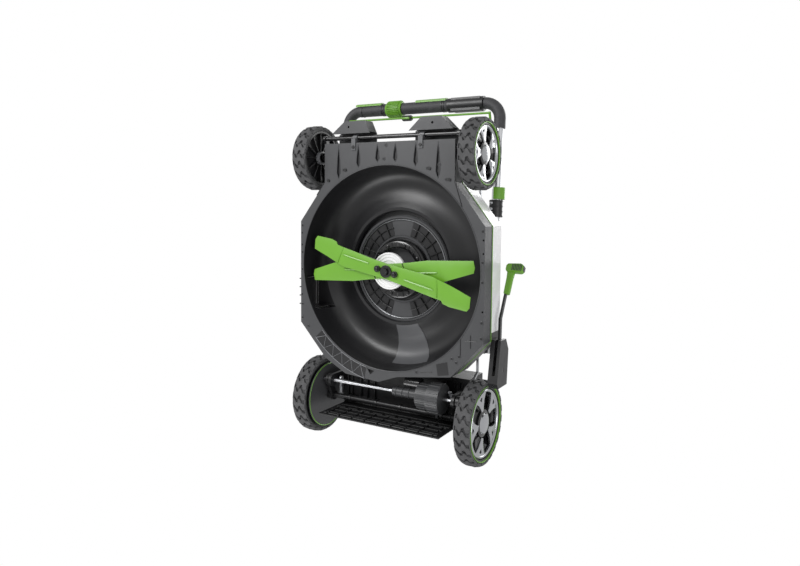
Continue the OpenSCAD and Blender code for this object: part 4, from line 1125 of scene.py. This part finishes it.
def make_gear_flutes():
    """Cooling flutes round both drums of the drive's gear case, and rings on its neck."""
    shaft = middle("drive_shaft")
    rings = []
    for radius, start, stop in ((0.0340, 0.096, 0.127), (0.0400, 0.131, 0.163)):
        rib = rounded(slab((radius - 0.001, -0.0016, start), (radius + 0.0024, 0.0016, stop)), 0.0008, 1)
        rings.append(ring_of(rib, 22))
    for x in (0.020, 0.040, 0.060):
        rings.append(lathe([(0.0125, x), (0.0148, x + 0.001), (0.0148, x + 0.004), (0.0125, x + 0.005)], 32))
    flutes = joined(rings)
    flutes.data.transform(Matrix.Translation((0, shaft.y, shaft.z)) @ ALONG_X)
    return flutes


def make_axle_collars():
    """Turned collars along the rear tie rod."""
    hub = middle("rear_left_tyre")
    parts = []
    for x, r in ((-0.150, 0.0095), (-0.060, 0.0088), (0.020, 0.0088), (0.150, 0.0095), (0.176, 0.0092)):
        parts.append(lathe([(0.0068, -0.004), (r, -0.004), (r, 0.004), (0.0068, 0.004)], 32,
                           Matrix.Translation((x, hub.y, hub.z)) @ ALONG_X))
    return joined([rounded(p, 0.0008, 1) for p in parts])


def make_cover_line(side):
    """The green line round one drive cover."""
    s = SIDES[side]
    hub = middle(f"rear_{side}_tyre")
    radius = corners("gear_covers")[1].z - hub.z
    place = Matrix.Translation((s * 0.2280, hub.y, hub.z)) @ Matrix.Rotation(-s * math.pi / 2, 4, "Y")
    return lathe([(radius - 0.0030, -0.0002), (radius - 0.0030, 0.0), (radius - 0.0018, 0.0008),
                  (radius - 0.0004, 0.0), (radius - 0.0004, -0.0002)], 96, place)


class MOWER_OT_axles(bpy.types.Operator):
    """Builds the fixings, ribs, springs and collars around both axles"""
    bl_idname = "mower.axles"
    bl_label = "Axles"

    def execute(self, context):
        parts = [
            (make_axle_screws, "clip_screws", "black_paint", "plated_steel"),
            (make_clip_saddles, "clip_collars", "mid_grey", "deck_plastic"),
            (make_rear_ribs, "rear_ribs", "body_black", "black_plastic"),
            (make_springs, "return_springs", "steel", "plated_steel"),
            (make_gear_flutes, "gear_flutes", "deck_grey", "deck_plastic"),
        ]
        for make, name, finish, slot in parts:
            piece(make(), name, "chassis", finish)
        for side in SIDES:
            piece(make_cover_line(side), f"drive_cover_line_{side}", "rear_axle", "green")
        piece(make_axle_collars(), "tie_rod_collars", "rear_axle", "black_paint")
        return {"FINISHED"}


# ---- folded handle and height lever ----

# How far each handle tube is from the mower's middle.
TUBE_X = 0.250


def make_dial():
    """The ribbed speed dial on the handle's bar."""
    low, high = corners("speed_dial")
    half, radius = (high.x - low.x) / 2, (high.z - low.z) / 2
    core = lathe([(0.0172, -half), (radius - 0.0050, -half), (radius - 0.0028, -half + 0.004),
                  (radius - 0.0022, half * 0.2), (radius - 0.0028, half - 0.004), (radius - 0.0050, half),
                  (0.0172, half)])
    rib = rounded(slab((radius - 0.0042, -0.0016, -half + 0.005), (radius, 0.0016, half - 0.005)), 0.0011, 2)
    dial = joined([core, ring_of(rib, 30)])
    dial.data.transform(Matrix.Translation(middle("speed_dial")) @ ALONG_X)
    return dial


def make_grip():
    """Rings moulded along the soft grip."""
    bar = middle("speed_dial")
    profile = [(0.0160, -0.0014), (0.0182, -0.0010), (0.0182, 0.0010), (0.0160, 0.0014)]
    return joined([lathe(profile, 40, Matrix.Translation((x, bar.y, bar.z)) @ ALONG_X)
                   for x in (0.078, 0.084, -0.116, -0.122, -0.192)])


def make_bail_roller():
    """A roller and a small tab on the bail's wire."""
    place = handle_matrix() @ Matrix.Translation((0, -handle_length(), 0))
    y, z = 0.0325, -0.0205
    roller = lathe([(0.0055, -0.015), (0.0070, -0.015), (0.0084, -0.012), (0.0084, 0.012), (0.0070, 0.015),
                    (0.0055, 0.015)], 36)
    roller.data.transform(place @ Matrix.Translation((-0.028, y, z)) @ ALONG_X)
    tab = rounded(slab((-0.040, y - 0.0015, z - 0.0125), (-0.016, y + 0.0045, z - 0.0060)), 0.0015)
    tab.data.transform(place)
    return roller, tab


def make_clamp_screws(side):
    """Three screw heads on one handle clamp."""
    s = SIDES[side]
    profile = [(0.0, -0.0024), (0.0018, -0.0026), (0.0036, -0.0014), (0.0038, 0.0014)]
    place = handle_matrix()
    return joined([lathe(profile, 20, place @ Matrix.Translation((s * (TUBE_X - 0.006), y, -0.0182)))
                   for y in (-0.362, -0.378, -0.394)])


def make_clamp_bands(side):
    """Four raised bands round one handle clamp."""
    profile = [(0.0172, -0.0018), (0.0192, -0.0012), (0.0192, 0.0012), (0.0172, 0.0018)]
    place, along_y = handle_matrix(), Matrix.Rotation(math.pi / 2, 4, "X")
    return joined([lathe(profile, 40, place @ Matrix.Translation((SIDES[side] * TUBE_X, y, 0)) @ along_y)
                   for y in (-0.358, -0.371, -0.385, -0.399)])


def make_lever_head():
    """The lever's T grip: a green bar with grooved dark pads."""
    low, high = corners("lever_grip")
    x = (low.x + high.x) / 2
    tip, knee = Vector((x, -0.014, 0.200)), Vector((x, 0.110, 0.130))
    way = (knee - tip).normalized()
    lift = Vector((1, 0, 0)).cross(way)
    place = Matrix.Translation(tip) @ Matrix((Vector((1, 0, 0)), way, lift)).transposed().to_4x4()
    inner, outer = low.x - x - 0.0015, high.x - x + 0.020
    stem = plate([(-0.0105, 0.004), (-0.0085, 0.028), (-0.0078, 0.074), (0.0078, 0.074), (0.0085, 0.028),
                  (0.0105, 0.004)], -0.0070, 0.0140)
    rounded(stem, 0.0035, 3)
    bar = plate([(inner, -0.006), (inner + 0.004, -0.0125), (outer - 0.008, -0.0145), (outer, -0.009),
                 (outer, 0.006), (outer - 0.006, 0.011), (inner + 0.004, 0.0105), (inner, 0.006)],
                -0.0098, 0.0196)
    rounded(bar, 0.0045, 3)
    pads = [slab((spot - 0.0013, -0.0110, -0.0106), (spot + 0.0013, 0.0080, 0.0106))
            for spot in (0.0035 + k * 0.0042 for k in range(7))]
    pads.append(slab((outer - 0.0045, -0.0085, -0.0075), (outer + 0.0008, 0.0055, 0.0075)))
    green, dark = joined([stem, bar]), joined([rounded(pad, 0.0007, 1) for pad in pads])
    for part in (green, dark):
        part.data.transform(place)
        outward(part)
    return green, dark


class MOWER_OT_handle(bpy.types.Operator):
    """Builds the folded handle's grips, dial and clamps and the height lever's head"""
    bl_idname = "mower.handle"
    bl_label = "Handle and lever"

    def execute(self, context):
        piece(make_dial(), "speed_dial_shape", "dial", "green", ("speed_dial",))
        piece(make_grip(), "grip_rings", "handle_upper", "body_black")
        roller, tab = make_bail_roller()
        piece(roller, "bail_roller", "bail", "body_black")
        piece(tab, "bail_tab", "bail", "green")
        for side in SIDES:
            piece(make_clamp_screws(side), f"clamp_screws_{side}", "handle_lower", "steel")
            piece(make_clamp_bands(side), f"clamp_bands_{side}", "handle_lower", "body_black")
        green, dark = make_lever_head()
        piece(green, "lever_head", "height_lever", "green", ("lever_grip",))
        piece(dark, "lever_pads", "height_lever", "soft_grip")
        return {"FINISHED"}


# ---- top side ----

def make_housing_vents():
    """Slats down both sides of the motor housing."""
    side = corners("power_housing")[1].x
    slats = []
    for s in (-1, 1):
        for k in range(9):
            y = -0.060 + k * 0.014
            slats.append(slab((s * (side - 0.0035), y - 0.0034, 0.196),
                              (s * (side + 0.0012), y + 0.0034, 0.262)))
    return joined([rounded(p, 0.001, 1) for p in slats])


def make_lid_details():
    """A raised panel and a latch on the battery lid."""
    low, high = corners("battery_lid")
    z = high.z
    inset = 0.026
    panel = rounded(slab((low.x + inset, low.y + inset, z - 0.001),
                         (high.x - inset, high.y - inset, z + 0.0016)), 0.0014)
    latch = rounded(slab((-0.030, low.y + 0.004, z - 0.001), (0.030, low.y + 0.018, z + 0.0038)), 0.0018)
    return joined([panel, latch])


def make_cover_seams():
    """Shallow ridges across the white cover, from the housing to the front corners."""
    z = corners("top_cover")[1].z
    ridges = []
    for s in (-1, 1):
        inner = [(0.150, 0.120), (0.150, -0.170), (0.110, -0.315)]
        outer = [(0.205, 0.120), (0.205, -0.120), (0.165, -0.240)]
        ridges.append(pipe([(s * x, y, z) for x, y in inner], 0.0014, 6))
        ridges.append(pipe([(s * x, y, z) for x, y in outer], 0.0012, 6))
    ridges.append(pipe([(-0.110, -0.315, z), (0.110, -0.315, z)], 0.0014, 6))
    return joined(ridges)


def make_tower_ridges():
    """Ridges across the top of the rear frame, and a raised panel at each end."""
    z = corners("rear_frame")[1].z
    parts = []
    for k in range(6):
        y = 0.308 + k * 0.0155
        parts.append(slab((-0.120, y - 0.0022, z - 0.0010), (0.120, y + 0.0022, z + 0.0016)))
    for s in (-1, 1):
        parts.append(slab((s * 0.165 - 0.030, 0.302, z - 0.0010), (s * 0.165 + 0.030, 0.392, z + 0.0014)))
    return joined([rounded(p, 0.0012, 2) for p in parts])


def make_shield_ribs():
    """Hoods over the trailing shield's slots, and its ribs and rails."""
    low, high = corners("trail_shield")
    y = middle("trail_shield").y
    parts = []
    for k in range(-4, 5):
        parts.append(slab((k * 0.042 - 0.0155, y - 0.0042, 0.0885), (k * 0.042 + 0.0155, y + 0.0040, 0.1035)))
        parts.append(slab((k * 0.042 - 0.0015, y - 0.0048, 0.016), (k * 0.042 + 0.0015, y + 0.0040, 0.086)))
    for z in (0.034, 0.058, 0.082, 0.110):
        parts.append(slab((low.x + 0.012, y - 0.0040, z - 0.0016), (high.x - 0.012, y + 0.0036, z + 0.0016)))
    return joined([rounded(p, 0.0008, 1) for p in parts])


def make_side_door_ribs():
    """Upright ribs on the outside of the side door."""
    low, high = corners("side_door")
    count = 4
    ribs = []
    for k in range(count):
        y = low.y + (high.y - low.y) * (k + 0.5) / count
        ribs.append(slab((low.x - 0.0018, y - 0.0016, low.z + 0.012),
                         (low.x + 0.0008, y + 0.0016, high.z - 0.016)))
    return joined([rounded(rib, 0.0007, 1) for rib in ribs])


def make_rear_door_ribs():
    """Upright ribs on the outside of the rear door."""
    low, high = corners("rear_door")
    count = 5
    ribs = []
    for k in range(count):
        x = low.x + (high.x - low.x) * (k + 0.5) / count
        ribs.append(slab((x - 0.0016, high.y - 0.0008, low.z + 0.012),
                         (x + 0.0016, high.y + 0.0018, high.z - 0.012)))
    return joined([rounded(rib, 0.0007, 1) for rib in ribs])


class MOWER_OT_top(bpy.types.Operator):
    """Builds the vents, seams, ribs and latches of the upper side"""
    bl_idname = "mower.top"
    bl_label = "Top side"

    def execute(self, context):
        parts = [
            (make_housing_vents, "housing_vents", "chassis", "gloss_black", "black_plastic"),
            (make_lid_details, "lid_details", "lid", "body_black", "black_plastic"),
            (make_cover_seams, "cover_seams", "chassis", "cover_white", "cover_plastic"),
            (make_tower_ridges, "tower_ridges", "chassis", "gloss_black", "black_plastic"),
            (make_shield_ribs, "shield_ribs", "shield", "flap", "flap_rubber"),
            (make_side_door_ribs, "side_door_ribs", "side_flap", "body_black", "black_plastic"),
            (make_rear_door_ribs, "rear_door_ribs", "rear_flap", "body_black", "black_plastic"),
        ]
        for make, name, body, finish, slot in parts:
            piece(make(), name, body, finish)
        return {"FINISHED"}


class MOWER_OT_frame(bpy.types.Operator):
    """Rounds the frame's own moulded parts and gives every part its finish"""
    bl_idname = "mower.frame"
    bl_label = "Frame parts"

    def execute(self, context):
        made = finishes()
        for part in frame["record"]["subparts"]:
            node = part["node"]
            finish = CAD_FINISH.get(node) or SLOT_FINISH[part["material_slot"]]
            obj = frame["nodes"][node]
            if not obj.material_slots:
                obj.data.materials.append(None)
            for slot in obj.material_slots:
                slot.link = "OBJECT"
                slot.material = made[finish]
        for node, share in ROUNDED.items():
            softened(node, CAD_FINISH[node], settings().edge * share)
        return {"FINISHED"}


# ---- stage ----

class MOWER_OT_stage(bpy.types.Operator):
    """Sets up the camera, the pale floor and the soft lights"""
    bl_idname = "mower.stage"
    bl_label = "Stage"

    def execute(self, context):
        self.add_camera(context)
        self.add_world(context)
        self.add_floor()
        lights = [
            ("key", (-0.9, -1.3, -1.7), 1.0, 34.0), ("rear_low", (-0.8, 1.5, -1.1), 1.0, 12.0),
            ("side_low", (1.9, 0.3, -0.9), 1.1, 12.0), ("above", (0.3, -0.6, 2.1), 1.6, 26.0),
        ]
        for name, place, size, power in lights:
            bpy.ops.object.light_add(type="AREA", location=place)
            light = context.object
            light.name = "light_" + name
            light.data.size = size
            light.data.energy = power
            light.visible_camera = False
            aim = Vector((0, 0, 0.1)) - Vector(place)
            light.rotation_euler = aim.to_track_quat("-Z", "Y").to_euler()
        return {"FINISHED"}

    def add_camera(self, context):
        """The camera looks up at the mower's underside from in front."""
        bpy.ops.object.camera_add()
        camera = context.object
        camera.name = "main_camera"
        spin = Vector((0.061, 0.533, 0.026))
        turn = Matrix.Rotation(spin.length, 3, spin).transposed()
        camera.matrix_world = Matrix.Translation((0.9423, -0.1961, -1.4688)) @ (
            turn @ Matrix.Diagonal((1, -1, -1))).to_4x4()
        camera.data.lens = 29.94
        camera.data.shift_x = 0.00125
        camera.data.shift_y = -0.0506
        camera.data.clip_start = 0.01
        context.scene.camera = camera

    def add_world(self, context):
        """A soft studio surround, seen as plain white."""
        world = bpy.data.worlds.new("studio")
        context.scene.world = world
        world.use_nodes = True
        tree = world.node_tree
        lit = tree.nodes["Background"]
        lit.inputs["Color"].default_value = (1, 1, 1, 1)
        lit.inputs["Strength"].default_value = 0.62
        seen = tree.nodes.new("ShaderNodeBackground")
        seen.inputs["Color"].default_value = (1, 1, 1, 1)
        path = tree.nodes.new("ShaderNodeLightPath")
        mix = tree.nodes.new("ShaderNodeMixShader")
        tree.links.new(path.outputs["Is Camera Ray"], mix.inputs[0])
        tree.links.new(lit.outputs[0], mix.inputs[1])
        tree.links.new(seen.outputs[0], mix.inputs[2])
        tree.links.new(mix.outputs[0], tree.nodes["World Output"].inputs["Surface"])
        context.scene.view_settings.view_transform = "Standard"

    def add_floor(self):
        """A pale floor that is seen only from above."""
        bpy.ops.mesh.primitive_plane_add(size=60)
        floor = bpy.context.object
        floor.name = "floor"
        s = Surface("floor_paper")
        s.feed("Base Color", s.blend(s.noise(0.5, 2.0), (0.60, 0.60, 0.60), (0.64, 0.64, 0.64)))
        s.shader.inputs["Roughness"].default_value = 0.7
        reach = s.node("ShaderNodeVectorMath", {"operation": "LENGTH"}, {0: s.place()}, output=1)
        s.feed("Alpha", s.ramp(reach * 0.1, (0.14, 1.0), (0.55, 0.0)))
        below = s.node("ShaderNodeNewGeometry", output=6)
        clear_look = s.node("ShaderNodeBsdfTransparent")
        mix = s.node("ShaderNodeMixShader", {}, {0: below, 1: Value(s, s.shader.outputs[0]), 2: clear_look})
        s.tree.links.new(mix.socket, s.tree.nodes["Material Output"].inputs["Surface"])
        floor.data.materials.append(s.material)
        for kind in ("diffuse", "glossy", "transmission", "shadow"):
            setattr(floor, "visible_" + kind, False)


class MOWER_PT_panel(bpy.types.Panel):
    """The mower's settings and the steps that build it"""
    bl_idname = "MOWER_PT_panel"
    bl_label = "Lawn mower"
    bl_space_type = "VIEW_3D"
    bl_region_type = "UI"
    bl_category = "Mower"

    def draw(self, context):
        for name in MowerSettings.__annotations__:
            self.layout.prop(context.scene.mower, name)
        for operator in OPERATORS:
            self.layout.operator(operator.bl_idname)


OPERATORS = (MOWER_OT_frame, MOWER_OT_wheels, MOWER_OT_underside, MOWER_OT_blades, MOWER_OT_axles,
             MOWER_OT_handle, MOWER_OT_top, MOWER_OT_stage)
CLASSES = (MowerSettings, *OPERATORS, MOWER_PT_panel)


def register():
    for cls in CLASSES:
        bpy.utils.register_class(cls)
    bpy.types.Scene.mower = PointerProperty(type=MowerSettings)


def unregister():
    del bpy.types.Scene.mower
    for cls in reversed(CLASSES):
        bpy.utils.unregister_class(cls)


def main():
    register()
    for step in (bpy.ops.mower.frame, bpy.ops.mower.wheels, bpy.ops.mower.underside, bpy.ops.mower.blades,
                 bpy.ops.mower.axles, bpy.ops.mower.handle, bpy.ops.mower.top, bpy.ops.mower.stage):
        if step() != {"FINISHED"}:
            raise RuntimeError("a step of the mower was left unfinished")


if __name__ == "__main__":
    main()
